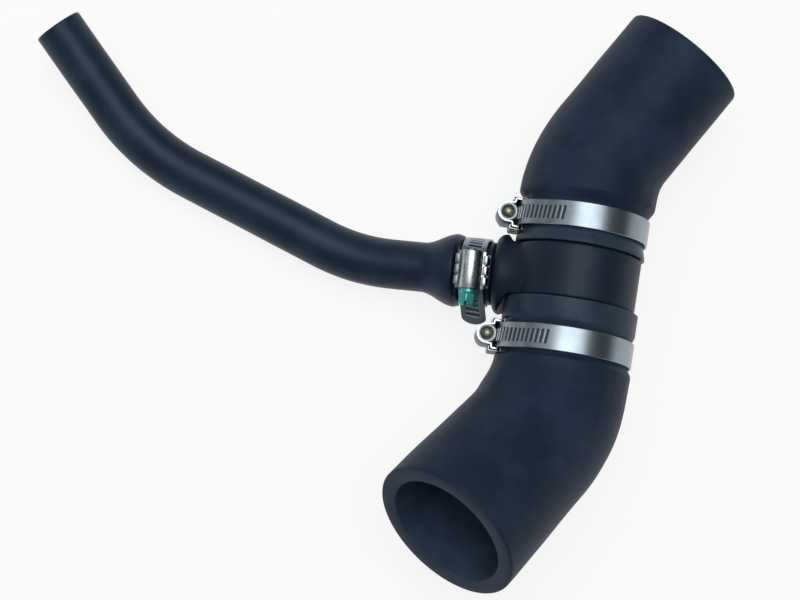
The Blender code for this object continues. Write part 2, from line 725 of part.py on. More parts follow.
        combine(saddle, "UNION", make_cutter(self.label + "_tab_shapes", tabs, self.base))
        return saddle

    def worm_radius(self, y, angle):
        """Thread radius: the crest stands over the band's middle groove at y = 0, angle pi from +Z."""
        phase = (y / WORM_PITCH - (angle - math.pi) / math.tau) % 1.0
        distance = min(phase, 1.0 - phase)
        share = ease((distance - 0.06) / 0.26)
        return WORM_CREST_RADIUS + (WORM_ROOT_RADIUS - WORM_CREST_RADIUS) * share

    def make_screw(self):
        """Worm with its journal at the tip and a slotted hexagon head, turning about the local Y axis."""
        tip = -HOUSING_LENGTH / 2.0
        thread_start = tip + HOUSING_WEB + WORM_END_PLAY
        thread_end = -tip - 0.4
        head = -tip + WORM_END_PLAY
        rings = []

        def plain(y, radius):
            rings.append((y, [radius] * WORM_SIDES))

        plain(tip - JOURNAL_REACH, JOURNAL_RADIUS * 0.55)
        plain(tip - JOURNAL_REACH * 0.6, JOURNAL_RADIUS * 0.9)
        plain(tip - JOURNAL_REACH * 0.2, JOURNAL_RADIUS)
        plain(thread_start, JOURNAL_RADIUS)
        steps = round((thread_end - thread_start) / WORM_PITCH * RINGS_PER_THREAD)
        for step in range(steps + 1):
            y = thread_start + (thread_end - thread_start) * step / steps
            run_out = min(ease((y - thread_start) / 0.8), ease((thread_end - y) / 0.8))
            radii = []
            for side in range(WORM_SIDES):
                full = self.worm_radius(y, math.tau * side / WORM_SIDES)
                radii.append(WORM_ROOT_RADIUS + (full - WORM_ROOT_RADIUS) * run_out)
            rings.append((y, radii))
        plain(head, WORM_ROOT_RADIUS)
        plain(head, HEAD_COLLAR_RADIUS)
        plain(head + HEAD_COLLAR_LENGTH, HEAD_COLLAR_RADIUS)
        flat = HEAD_ACROSS_FLATS / 2.0
        hexagon = [flat / math.cos(math.radians(30.0)) if side % 2 == 0 else flat for side in range(WORM_SIDES)]
        top = head + HEAD_COLLAR_LENGTH + HEAD_LENGTH
        rings.append((head + HEAD_COLLAR_LENGTH, hexagon))
        rings.append((top - 0.6, hexagon))
        rings.append((top, [flat * 0.92] * WORM_SIDES))
        shape = bmesh.new()
        loops = []
        for y, radii in rings:
            loop = []
            for side, radius in enumerate(radii):
                angle = math.tau * side / WORM_SIDES
                loop.append(shape.verts.new((radius * math.sin(angle), y, radius * math.cos(angle))))
            loops.append(loop)
        skin_rings(shape, loops, closed_ends=True)
        screw = make_object(self.label + "_screw", shape, MATERIALS["screw"], self.base)
        screw.location = (0.0, 0.0, self.screw_height * MM)
        half = HEAD_SLOT_WIDTH / 2.0
        long_side = HEAD_ACROSS_FLATS
        slot = prism(
            [(-half, -long_side), (half, -long_side), (half, long_side), (-half, long_side)],
            top - HEAD_SLOT_DEPTH, top + 1.0,
        )
        cutter = make_cutter(self.label + "_head_slot_shape", slot, screw)
        combine(screw, "DIFFERENCE", cutter)
        return screw

    def make(self):
        """Build the four pieces of the clamp."""
        self.make_band()
        self.make_housing()
        self.make_saddle()
        self.make_screw()


def clamp_frame(centre, hose_axis, housing_out):
    """Local axes of a clamp: X along the hose, Z out to the housing and Y along the screw."""
    x_axis = hose_axis.normalized()
    z_axis = (housing_out - x_axis * housing_out.dot(x_axis)).normalized()
    y_axis = z_axis.cross(x_axis)
    frame = Matrix((x_axis, y_axis, z_axis)).transposed().to_4x4()
    frame.translation = centre
    return frame


def make_clamps(parent):
    """The three clamps at their places on the hoses."""
    outward = direction(TEE_HEADING + 90.0, LARGE_HOUSING_RISE)
    upper = clamp_frame(TEE_UP * UPPER_CLAMP_AT, TEE_UP, outward)
    Clamp("upper_clamp", UPPER_CLAMP_RADIUS, UPPER_GROOVE_COUNT, upper, parent).make()
    lower = clamp_frame(-TEE_UP * LOWER_CLAMP_AT, TEE_UP, outward)
    Clamp("lower_clamp", LOWER_CLAMP_RADIUS, LOWER_GROOVE_COUNT, lower, parent).make()
    turn = math.radians(BRANCH_HOUSING_TURN)
    housing_out = UP * math.cos(turn) - TEE_UP * math.sin(turn)
    branch = clamp_frame(BRANCH_OUT * BRANCH_CLAMP_AT, BRANCH_OUT, housing_out)
    Clamp(
        "branch_clamp", SMALL_CLAMP_RADIUS, BRANCH_GROOVE_COUNT, branch, parent,
        BRANCH_TAIL_LIFT, BRANCH_TAIL_DRIFT,
    ).make()


def stand_on_surface(assembly):
    """Move the assembly so that the middle of its base is at the origin."""
    bpy.context.view_layer.update()
    graph = bpy.context.evaluated_depsgraph_get()
    low = Vector((math.inf,) * 3)
    high = Vector((-math.inf,) * 3)
    for piece in bpy.data.objects:
        if piece.type != "MESH" or piece.hide_render:
            continue
        evaluated = piece.evaluated_get(graph)
        for vertex in evaluated.data.vertices:
            spot = evaluated.matrix_world @ vertex.co
            low = Vector(map(min, low, spot))
            high = Vector(map(max, high, spot))
    assembly.location = Vector((-(low.x + high.x) / 2.0, -(low.y + high.y) / 2.0, -low.z))
    bpy.context.view_layer.update()


for old in list(bpy.data.objects):
    bpy.data.objects.remove(old, do_unlink=True)

MATERIALS = {
    "rubber": make_material("black_rubber", (0.020, 0.027, 0.039), 0.55, 0.0),
    "plastic": make_material("black_plastic", (0.018, 0.023, 0.033), 0.48, 0.0),
    "steel": make_material("stainless_band", (0.60, 0.62, 0.63), 0.28, 1.0),
    "zinc": make_material("bright_zinc", (0.70, 0.72, 0.72), 0.24, 1.0),
    "screw": make_material("green_passivated_screw", (0.02, 0.22, 0.18), 0.35, 0.6),
    "guide": make_material("guide", (1.0, 0.0, 1.0), 0.5, 0.0),
}

ASSEMBLY = bpy.data.objects.new("assembly", None)
bpy.context.collection.objects.link(ASSEMBLY)
make_tee(ASSEMBLY)
make_upper_hose(ASSEMBLY)
make_lower_hose(ASSEMBLY)
make_branch_hose(ASSEMBLY)
make_clamps(ASSEMBLY)
stand_on_surface(ASSEMBLY)
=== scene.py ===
"""Dresses a branched rubber coolant hose: three moulded hoses, a plastic tee and three worm-drive clamps.

Shapes are worked out in millimetres from the crossing of the tee's two axes, and Ground turns them into
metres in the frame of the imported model. Headings run anticlockwise from +X and pitches upwards, in degrees.
"""
from __future__ import annotations

import json
import logging
import math
from dataclasses import dataclass, field
from enum import Enum
from typing import Iterable, Sequence

import bmesh
import bpy
from mathutils import Matrix, Vector, noise

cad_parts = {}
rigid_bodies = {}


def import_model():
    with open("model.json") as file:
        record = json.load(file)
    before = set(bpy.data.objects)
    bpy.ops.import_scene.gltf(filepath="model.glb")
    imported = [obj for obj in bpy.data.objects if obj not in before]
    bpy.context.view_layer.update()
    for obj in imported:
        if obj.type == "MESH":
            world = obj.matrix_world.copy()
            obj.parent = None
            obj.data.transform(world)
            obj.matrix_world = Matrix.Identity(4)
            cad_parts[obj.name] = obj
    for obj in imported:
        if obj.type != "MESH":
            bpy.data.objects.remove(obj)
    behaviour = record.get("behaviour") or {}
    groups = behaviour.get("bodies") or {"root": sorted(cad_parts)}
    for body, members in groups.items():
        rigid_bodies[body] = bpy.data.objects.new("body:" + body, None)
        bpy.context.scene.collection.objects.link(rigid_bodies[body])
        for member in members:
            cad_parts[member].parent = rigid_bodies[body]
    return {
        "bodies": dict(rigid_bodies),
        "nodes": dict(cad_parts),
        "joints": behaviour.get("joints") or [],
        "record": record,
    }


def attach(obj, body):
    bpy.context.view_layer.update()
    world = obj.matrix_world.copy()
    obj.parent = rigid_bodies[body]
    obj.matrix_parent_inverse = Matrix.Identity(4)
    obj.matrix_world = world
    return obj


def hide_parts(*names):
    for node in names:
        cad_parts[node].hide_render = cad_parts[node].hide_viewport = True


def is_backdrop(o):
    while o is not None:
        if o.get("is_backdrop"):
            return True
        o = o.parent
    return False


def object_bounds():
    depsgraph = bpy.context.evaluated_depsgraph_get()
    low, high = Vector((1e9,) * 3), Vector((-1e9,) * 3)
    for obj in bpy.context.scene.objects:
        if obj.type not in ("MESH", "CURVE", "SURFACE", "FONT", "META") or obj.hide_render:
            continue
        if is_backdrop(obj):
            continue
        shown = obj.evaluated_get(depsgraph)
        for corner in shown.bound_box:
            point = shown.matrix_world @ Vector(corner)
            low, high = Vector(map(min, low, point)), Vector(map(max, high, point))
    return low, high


LOG = logging.getLogger("coolant_hose")
MM = 0.001
UP = Vector((0.0, 0.0, 1.0))
SEAT_GAP = 0.3
LAYER_GAP = 0.25
SLIM_HOSE_RADIUS = 12.0
BEVEL_ANGLE = 50.0
SHARP_EDGE = 48.0
GROOVE_SHARES = (0.0, 0.17, 0.22, 0.30, 0.36, 0.5, 0.64, 0.70, 0.78, 0.83)
PLAIN_STRIP_ROWS = 110
TAIL_STEPS = 12
SADDLE_STEPS = 24
THREAD_STEPS = 40


class Slot(Enum):
    """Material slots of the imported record."""

    PLASTIC = "plastic"
    RUBBER = "rubber"
    BAND = "steel_band"
    PLATE = "zinc_plate"
    SCREW = "passivated_screw"


class Body(Enum):
    """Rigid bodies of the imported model."""

    ASSEMBLY = "hose_assembly"
    UPPER_WORM = "upper_worm"
    LOWER_WORM = "lower_worm"
    BRANCH_WORM = "branch_worm"


def direction(heading: float, pitch: float) -> Vector:
    """Unit vector of a heading and a pitch.

    Args:
        heading: degrees anticlockwise from +X.
        pitch: degrees upwards.

    Returns:
        The unit vector.
    """
    turn = math.radians(heading)
    rise = math.radians(pitch)
    return Vector((math.cos(turn) * math.cos(rise), math.sin(turn) * math.cos(rise), math.sin(rise)))


def ease(share: float) -> float:
    """Smooth step of a share, clamped to 0..1.

    Args:
        share: any number.

    Returns:
        The eased share.
    """
    share = min(max(share, 0.0), 1.0)
    return share * share * (3.0 - 2.0 * share)


def read_profile(keys: Sequence[tuple[float, float]], length: float) -> float:
    """Radius at a length, eased between keys.

    Args:
        keys: (length, radius) pairs in rising order.
        length: where to read.

    Returns:
        The radius.
    """
    for (start, low), (end, high) in zip(keys, keys[1:]):
        if length <= end:
            if end - start < 1e-9:
                return high
            return low + (high - low) * ease((length - start) / (end - start))
    return keys[-1][1]


class Signal:
    """A shader socket that takes part in Python expressions."""

    def __init__(self, graph: "Graph", socket: bpy.types.NodeSocket) -> None:
        """Wrap one output socket of a graph.

        Args:
            graph: the graph that owns it.
            socket: the socket.
        """
        self.graph = graph
        self.socket = socket

    def _maths(self, operation: str, first: object, second: object) -> "Signal":
        """Result of a Math node on two values.

        Args:
            operation: the node's operation.
            first: a signal or a number.
            second: a signal or a number.

        Returns:
            The result.
        """
        return self.graph.add("ShaderNodeMath", {"operation": operation}, {0: first, 1: second})

    def __add__(self, other: object) -> "Signal":
        """Sum."""
        return self._maths("ADD", self, other)

    def __radd__(self, other: object) -> "Signal":
        """Sum with a number on the left."""
        return self._maths("ADD", other, self)

    def __sub__(self, other: object) -> "Signal":
        """Difference."""
        return self._maths("SUBTRACT", self, other)

    def __rsub__(self, other: object) -> "Signal":
        """Difference with a number on the left."""
        return self._maths("SUBTRACT", other, self)

    def __mul__(self, other: object) -> "Signal":
        """Product."""
        return self._maths("MULTIPLY", self, other)

    def __rmul__(self, other: object) -> "Signal":
        """Product with a number on the left."""
        return self._maths("MULTIPLY", other, self)

    def __pow__(self, other: object) -> "Signal":
        """Power."""
        return self._maths("POWER", self, other)

    def clamped(self) -> "Signal":
        """The value held between 0 and 1.

        Returns:
            The held value.
        """
        return self.graph.add("ShaderNodeClamp", {}, {"Value": self})

    def between(self, low: float, high: float) -> "Signal":
        """Smooth step between two levels.

        Args:
            low: value that gives 0.
            high: value that gives 1.

        Returns:
            The eased mask.
        """
        settings = {"interpolation_type": "SMOOTHSTEP"}
        inputs = {"Value": self, "From Min": low, "From Max": high}
        return self.graph.add("ShaderNodeMapRange", settings, inputs)


class Graph:
    """A material's node tree, built by expressions."""

    def __init__(self, name: str) -> None:
        """Start a material with an empty Principled BSDF.

        Args:
            name: the material's name.
        """
        self.material = bpy.data.materials.new(name)
        self.material.use_nodes = True
        self.tree = self.material.node_tree
        self.shader = self.tree.nodes["Principled BSDF"]
        self.output = self.tree.nodes["Material Output"]

    def feed(self, node: bpy.types.Node, key: object, value: object) -> None:
        """Set or link one input of a node.

        Args:
            node: the node.
            key: the input's name or index.
            value: a signal, a number or a colour.
        """
        socket = node.inputs[key]
        if isinstance(value, Signal):
            self.tree.links.new(value.socket, socket)
        elif hasattr(value, "__len__") and len(value) == 3 and socket.type == "RGBA":
            socket.default_value = (*value, 1.0)
        else:
            socket.default_value = value

    def add(self, kind: str, settings: dict, inputs: dict, output: object = 0) -> Signal:
        """Add any node.

        Args:
            kind: the node's type.
            settings: properties set before its sockets.
            inputs: values or signals by socket name or index.
            output: name or index of the wanted output.

        Returns:
            The wanted output as a signal.
        """
        node = self.tree.nodes.new(kind)
        for key, value in settings.items():
            setattr(node, key, value)
        for key, value in inputs.items():
            self.feed(node, key, value)
        return Signal(self, node.outputs[output])

    def place(self) -> Signal:
        """Object coordinates.

        Returns:
            The coordinates.
        """
        return self.add("ShaderNodeTexCoord", {}, {}, "Object")

    def grain(self, vector: Signal, scale: float, detail: float = 3.0, roughness: float = 0.5) -> Signal:
        """Noise of a scale per metre.

        Args:
            vector: where it is read.
            scale: features for each metre.
            detail: octaves.
            roughness: share of the finer octaves.

        Returns:
            The noise, from 0 to 1.
        """
        inputs = {"Vector": vector, "Scale": scale, "Detail": detail, "Roughness": roughness}
        return self.add("ShaderNodeTexNoise", {"noise_dimensions": "3D"}, inputs, "Fac")

    def attribute(self, name: str) -> Signal:
        """A number kept on the piece's own mesh, 0 where it has none.

        Args:
            name: the attribute's name.

        Returns:
            The number.
        """
        return self.add("ShaderNodeAttribute", {"attribute_name": name}, {}, "Fac")

    def blend(self, factor: Signal, low: object, high: object) -> Signal:
        """Colour between two by a factor.

        Args:
            factor: 0 for the first colour, 1 for the second.
            low: the first colour.
            high: the second colour.

        Returns:
            The colour.
        """
        return self.add("ShaderNodeMix", {"data_type": "RGBA"}, {0: factor, 6: low, 7: high}, 2)

    def bump(self, height: Signal, strength: float, distance: float) -> Signal:
        """Normal from a height.

        Args:
            height: the height, from 0 to 1.
            strength: how much of it counts.
            distance: metres from 0 to 1.

        Returns:
            The normal.
        """
        inputs = {"Height": height, "Strength": strength, "Distance": distance}
        return self.add("ShaderNodeBump", {}, inputs)


class SkyGraph(Graph):
    """A world's node tree, built by the same expressions."""

    def __init__(self, name: str) -> None:
        """Start a world with a plain Background.

        Args:
            name: the world's name.
        """
        self.world = bpy.data.worlds.new(name)
        self.world.use_nodes = True
        self.tree = self.world.node_tree
        self.shader = self.tree.nodes["Background"]
        self.output = self.tree.nodes["World Output"]

    def toward(self, way: Vector) -> Signal:
        """How far each direction points along a given one, from -1 to 1.

        Args:
            way: the unit vector.

        Returns:
            The share.
        """
        where = self.add("ShaderNodeTexCoord", {}, {}, "Generated")
        settings = {"operation": "DOT_PRODUCT"}
        return self.add("ShaderNodeVectorMath", settings, {0: where, 1: tuple(way)}, "Value")


@dataclass(frozen=True)
class RubberFinish:
    """Moulded rubber: matt, a little mottled, with a fine grain, a faint dusty bloom and a painted sheen on
    the collar by a clamp.
    """

    name: str = "moulded_rubber"
    dark: tuple = (0.0080, 0.0165, 0.0360)
    light: tuple = (0.0180, 0.0320, 0.0610)
    roughness: float = 0.53
    specular: float = 0.18
    grain_height: float = 0.00006
    tint: tuple = (0.72, 0.87, 1.0, 1.0)
    # Painted sheen: a lighter colour on the collar beside a clamp, where the rubber is also smoother.
    collar_sheen: tuple = (0.030, 0.050, 0.074)
    polish: float = 0.20
    cloud_scale: float = 55.0
    speck_scale: float = 900.0
    grain_scale: float = 2600.0
    bloom_edge: tuple = (0.38, 0.68)
    sheen_edge: tuple = (0.25, 0.60)
    speck_share: float = 0.25
    cloud_rough: float = 0.14
    speck_rough: float = 0.08
    grain_share: float = 0.6

    def make(self) -> bpy.types.Material:
        """Build the material.

        Returns:
            The material.
        """
        graph = Graph(self.name)
        place = graph.place()
        cloud = graph.grain(place, self.cloud_scale, 4.0, 0.6)
        speck = graph.grain(place, self.speck_scale, 2.0, 0.6)
        grain = graph.grain(place, self.grain_scale, 2.0, 0.7)
        bloom = cloud.between(*self.bloom_edge) * (1.0 - self.speck_share) + speck * self.speck_share
        # Painted sheen on the collar, in blotches, where the roughness also drops.
        sheen_mask = graph.attribute("collar_sheen") * cloud.between(*self.sheen_edge)
        moulded = graph.blend(bloom.clamped(), self.dark, self.light)
        graph.feed(graph.shader, "Base Color", graph.blend(sheen_mask, moulded, self.collar_sheen))
        middle = (self.cloud_rough + self.speck_rough) / 2.0
        uneven = cloud * self.cloud_rough + speck * self.speck_rough
        graph.feed(graph.shader, "Roughness", uneven + (self.roughness - middle) - sheen_mask * self.polish)
        graph.shader.inputs["Specular IOR Level"].default_value = self.specular
        graph.shader.inputs["Specular Tint"].default_value = self.tint
        mixed = grain * self.grain_share + speck * (1.0 - self.grain_share)
        graph.feed(graph.shader, "Normal", graph.bump(mixed, 0.5, self.grain_height))
        return graph.material


@dataclass(frozen=True)
class StripFinish:
    """Rolled steel strip: streaks along its length, with painted shade in the pressed grooves."""

    name: str = "rolled_strip"
    colour: tuple = (0.32, 0.38, 0.42)
    shade: tuple = (0.23, 0.28, 0.32)
    # Painted shade: the dark colour of the pressed grooves.
    groove_shade: tuple = (0.045, 0.065, 0.085)
    roughness: float = 0.28
    stretch: tuple = (0.03, 5.0, 1.0)
    streak_scale: float = 3.0
    cloud_scale: float = 160.0
    streak_share: float = 0.6
    tone_edge: tuple = (0.3, 0.75)
    streak_rough: float = 0.16
    recess_rough: float = 0.2
    clean_rough: float = 0.06
    streak_height: float = 0.00004

    def make(self) -> bpy.types.Material:
        """Build the material.

        Returns:
            The material.
        """
        graph = Graph(self.name)
        strip = graph.add("ShaderNodeUVMap", {"uv_map": "strip"}, {})
        stretched = graph.add("ShaderNodeMapping", {}, {"Vector": strip, "Scale": self.stretch})
        streak = graph.grain(stretched, self.streak_scale, 4.0, 0.65)
        cloud = graph.grain(graph.place(), self.cloud_scale, 3.0, 0.6)
        pressed = graph.attribute("groove_shade")
        tone = (streak * self.streak_share + cloud * (1.0 - self.streak_share)).between(*self.tone_edge)
        clean = graph.blend(tone, self.shade, self.colour)
        # The groove depth blends in the painted shade and raises the roughness.
        graph.feed(graph.shader, "Base Color", graph.blend(pressed, clean, self.groove_shade))
        graph.shader.inputs["Metallic"].default_value = 1.0
        uneven = streak * self.streak_rough + pressed * self.recess_rough
        graph.feed(graph.shader, "Roughness", uneven + (self.roughness - self.clean_rough))
        graph.feed(graph.shader, "Normal", graph.bump(streak, 0.25, self.streak_height))
        return graph.material


@dataclass(frozen=True)
class PlateFinish:
    """Zinc plate on pressed sheet: a soft spangle, bright where unmarked, with painted shade and a rougher
    finish where the mesh marks it, mostly down its sides.
    """

    name: str = "bright_zinc_plate"
    colour: tuple = (0.52, 0.58, 0.60)
    shade: tuple = (0.36, 0.42, 0.44)
    # Painted shade: the dark colour put on marked sides, crowns, flanges and webs, standing in for darker
    # reflections.
    painted_shade_tone: tuple = (0.050, 0.072, 0.080)
    roughness: float = 0.24
    spangle_scale: float = 700.0
    cloud_scale: float = 420.0
    cloud_share: float = 0.7
    spangle_share: float = 0.5
    tone_edge: tuple = (0.25, 0.75)
    cloud_rough: float = 0.2
    spangle_rough: float = 0.1
    dull_rough: float = 0.15
    clean_rough: float = 0.1
    cloud_height: float = 0.00002

    def make(self) -> bpy.types.Material:
        """Build the material.

        Returns:
            The material.
        """
        graph = Graph(self.name)
        place = graph.place()
        inputs = {"Vector": place, "Scale": self.spangle_scale}
        spangle = graph.add("ShaderNodeTexVoronoi", {}, inputs, "Distance")
        cloud = graph.grain(place, self.cloud_scale, 3.0, 0.6)
        tone = (cloud * self.cloud_share + spangle * self.spangle_share).between(*self.tone_edge)
        # The mesh's mask blends in the painted shade and raises the roughness.
        dull_and_painted_shade = graph.attribute("dull_and_painted_shade")
        clean = graph.blend(tone, self.shade, self.colour)
        graph.feed(graph.shader, "Base Color", graph.blend(dull_and_painted_shade, clean, self.painted_shade_tone))
        graph.shader.inputs["Metallic"].default_value = 1.0
        uneven = cloud * self.cloud_rough + spangle * self.spangle_rough + dull_and_painted_shade * self.dull_rough
        graph.feed(graph.shader, "Roughness", uneven + (self.roughness - self.clean_rough))
        graph.feed(graph.shader, "Normal", graph.bump(cloud, 0.12, self.cloud_height))
        return graph.material


@dataclass(frozen=True)
class ScrewFinish:
    """Passivated steel: a see-through green film that thins to the metal, or its pale worn tip."""

    name: str
    film: tuple
    thin: tuple
    roughness: float = 0.30
    metallic: float = 0.75
    cloud_scale: float = 500.0
    speck_scale: float = 2400.0
    cloud_share: float = 0.6
    worn_edge: tuple = (0.42, 0.72)
    speck_rough: float = 0.15
    clean_rough: float = 0.07
    speck_height: float = 0.00005

    def make(self) -> bpy.types.Material:
        """Build the material.

        Returns:
            The material.
        """
        graph = Graph(self.name)
        place = graph.place()
        cloud = graph.grain(place, self.cloud_scale, 3.0, 0.6)
        speck = graph.grain(place, self.speck_scale, 2.0, 0.6)
        worn = (cloud * self.cloud_share + speck * (1.0 - self.cloud_share)).between(*self.worn_edge)
        graph.feed(graph.shader, "Base Color", graph.blend(worn, self.film, self.thin))
        graph.shader.inputs["Metallic"].default_value = self.metallic
        uneven = speck * self.speck_rough
        graph.feed(graph.shader, "Roughness", uneven + (self.roughness - self.clean_rough))
        graph.feed(graph.shader, "Normal", graph.bump(speck, 0.25, self.speck_height))
        return graph.material


@dataclass
class Finishes:
    """Every material of the object, made once."""

    hose: bpy.types.Material = field(default_factory=lambda: RubberFinish().make())
    slim: bpy.types.Material = field(
        default_factory=lambda: RubberFinish(
            "slim_hose_rubber", (0.0080, 0.0168, 0.0360), (0.0175, 0.0325, 0.0610), 0.40, 0.24, 0.00004,
        ).make()
    )
    # Painted light: the bore's rubber in lighter colours, standing in for light that reaches inside the hose.
    painted_light_lining: bpy.types.Material = field(
        default_factory=lambda: RubberFinish(
            "hose_lining_painted_light", (0.0220, 0.0370, 0.0680), (0.0400, 0.0620, 0.1050), 0.62, 0.20, 0.00006,
        ).make()
    )
    tee: bpy.types.Material = field(
        default_factory=lambda: RubberFinish(
            "moulded_plastic", (0.0046, 0.0100, 0.0220), (0.0090, 0.0185, 0.0370), 0.44, 0.28, 0.00004,
        ).make()
    )
    strip: bpy.types.Material = field(default_factory=lambda: StripFinish().make())
    plate: bpy.types.Material = field(default_factory=lambda: PlateFinish().make())
    screw: bpy.types.Material = field(
        default_factory=lambda: ScrewFinish(
            "green_film", (0.045, 0.330, 0.320), (0.150, 0.540, 0.530),
        ).make()
    )
    tip: bpy.types.Material = field(
        default_factory=lambda: ScrewFinish(
            "pale_tip", (0.36, 0.35, 0.27), (0.56, 0.54, 0.45), 0.42,
        ).make()
    )
    # Painted shade: dark olive for the journal's face round the nub, inside the bearing.
    tip_shade: bpy.types.Material = field(
        default_factory=lambda: ScrewFinish(
            "olive_painted_shade", (0.050, 0.058, 0.042), (0.150, 0.158, 0.120), 0.40,
        ).make()
    )


class Route:
    """A centre line of straight runs with an arc at each corner, read by its length."""

    def __init__(self, corners: Sequence[Vector], radii: Sequence[float]) -> None:
        """Lay the runs and arcs.

        Args:
            corners: first point, corners and last point, in millimetres.
            radii: one bend radius for each corner.
        """
        self.pieces: list[tuple] = []
        place = corners[0]
        for before, corner, after, radius in zip(corners, corners[1:], corners[2:], radii):
            inward = (corner - before).normalized()
            outward = (after - corner).normalized()
            turn = inward.angle(outward)
            tangent = radius * math.tan(turn / 2.0)
            start = corner - inward * tangent
            axis = inward.cross(outward).normalized()
            centre = start + axis.cross(inward) * radius
            self.pieces.append(("run", place, inward, (start - place).length))
            self.pieces.append(("bend", start, inward, radius * turn, centre, axis, radius))
            place = corner + outward * tangent
        last = corners[-1] - place
        self.pieces.append(("run", place, last.normalized(), last.length))
        self.length = sum(piece[3] for piece in self.pieces)

    def at(self, length: float) -> tuple[Vector, Vector]:
        """Point and direction at a length along the route.

        Args:
            length: millimetres from its start.

        Returns:
            The point and the unit direction.
        """
        left = length
        for piece in self.pieces:
            if left <= piece[3] or piece is self.pieces[-1]:
                break
            left -= piece[3]
        if piece[0] == "run":
            return piece[1] + piece[2] * left, piece[2].copy()
        spin = Matrix.Rotation(left / piece[6], 3, piece[5])
        return piece[4] + spin @ (piece[1] - piece[4]), spin @ piece[2]


class Ground:
    """Turns millimetres from the tee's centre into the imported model's metres."""

    def __init__(self, centre: Vector) -> None:
        """Keep the tee's centre in metres.

        Args:
            centre: the tee's centre in metres.
        """
        self.centre = centre

    def piece(self, name: str, shape: bmesh.types.BMesh, materials: Sequence[bpy.types.Material],
              sharp: float = 40.0) -> bpy.types.Object:
        """Turn a bmesh in millimetres into a finished object at the origin.

        Args:
            name: the object's name.
            shape: mesh in millimetres, freed here.
            materials: one or more materials.
            sharp: angle past which edges stay sharp.

        Returns:
            The object.
        """
        bmesh.ops.recalc_face_normals(shape, faces=shape.faces)
        bmesh.ops.scale(shape, vec=Vector((MM, MM, MM)), verts=shape.verts)
        bmesh.ops.translate(shape, vec=self.centre, verts=shape.verts)
        mesh = bpy.data.meshes.new(name)
        shape.to_mesh(mesh)
        shape.free()
        shade(mesh, sharp)
        for material in materials:
            mesh.materials.append(material)
        made = bpy.data.objects.new(name, mesh)
        bpy.context.scene.collection.objects.link(made)
        return made


def apply_modifiers(made: bpy.types.Object) -> bpy.types.Object:
    """Replace an object's mesh by its evaluated one and drop its modifiers.

    Args:
        made: the object.

    Returns:
        The same object.
    """
    bpy.context.view_layer.update()
    graph = bpy.context.evaluated_depsgraph_get()
    evaluated = made.evaluated_get(graph)
    mesh = bpy.data.meshes.new_from_object(evaluated, preserve_all_data_layers=True, depsgraph=graph)
    made.modifiers.clear()
    old = made.data
    made.data = mesh
    if old.users == 0:
        bpy.data.meshes.remove(old)
    return made


def remove(made: bpy.types.Object) -> None:
    """Delete a helper object and its mesh.

    Args:
        made: the object.
    """
    mesh = made.data
    bpy.data.objects.remove(made, do_unlink=True)
    if mesh.users == 0:
        bpy.data.meshes.remove(mesh)


def cut_or_join(made: bpy.types.Object, other: bpy.types.Object, operation: str) -> bpy.types.Object:
    """Apply an exact Boolean with a helper object, which is then deleted.

    Args:
        made: the object that stays.
        other: the helper.
        operation: UNION or DIFFERENCE.

    Returns:
        The object that stays.
    """
    modifier = made.modifiers.new("join", "BOOLEAN")
    modifier.operation = operation
    modifier.solver = "EXACT"
    modifier.object = other
    apply_modifiers(made)
    remove(other)
    return made


def shade(mesh: bpy.types.Mesh, sharp: float) -> None:
    """Shade a mesh smooth and keep its sharper edges.

    Args:
        mesh: the mesh.
        sharp: angle in degrees past which edges stay sharp.
    """
    mesh.shade_smooth()
    mesh.set_sharp_from_angle(angle=math.radians(sharp))


def round_edges(made: bpy.types.Object, width: float) -> bpy.types.Object:
    """Bevel the sharp edges of a piece.

    Args:
        made: the object.
        width: the bevel's width in the mesh's own unit.

    Returns:
        The same object.
    """
    bevel = made.modifiers.new("edges", "BEVEL")
    bevel.width = width
    bevel.segments = 2
    bevel.limit_method = "ANGLE"
    bevel.angle_limit = math.radians(BEVEL_ANGLE)
    bevel.harden_normals = False
    return apply_modifiers(made)


def dress(made: bpy.types.Object, body: Body, slot: Slot, node: str) -> None:
    """Let a finished piece ride on its body and stand for a CAD node.

    Args:
        made: the piece.
        body: the rigid body that carries it.
        slot: its material slot; not used.
        node: the CAD node that it replaces.
    """
    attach(made, body.value)
    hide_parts(node)
    LOG.info("%s: %d faces", made.name, len(made.data.polygons))


def join_rings(shape: bmesh.types.BMesh, rings: Sequence[list], closed: bool) -> None:
    """Skin rings with quads, and close the loop of rings or cap both ends.

    Args:
        shape: the mesh that holds the rings.
        rings: lists of as many vertices each.
        closed: whether the last ring joins the first.
    """
    pairs = list(zip(rings, rings[1:]))
    if closed:
        pairs.append((rings[-1], rings[0]))
    for ring, following in pairs:
        for index in range(len(ring)):
            after = (index + 1) % len(ring)
            shape.faces.new((ring[index], ring[after], following[after], following[index]))
    if not closed:
        shape.faces.new(rings[0])
        shape.faces.new(rings[-1])


def axis_frame(origin: Vector, along: Vector, up: Vector) -> Matrix:
    """Matrix whose X axis runs along a direction and whose Z axis leans to up.

    Args:
        origin: the frame's origin.
        along: direction of X.
        up: where Z leans.

    Returns:
        The frame.
    """
    x_axis = along.normalized()
    y_axis = up.cross(x_axis).normalized()
    z_axis = x_axis.cross(y_axis)
    frame = Matrix((x_axis, y_axis, z_axis)).transposed().to_4x4()
    frame.translation = origin
    return frame


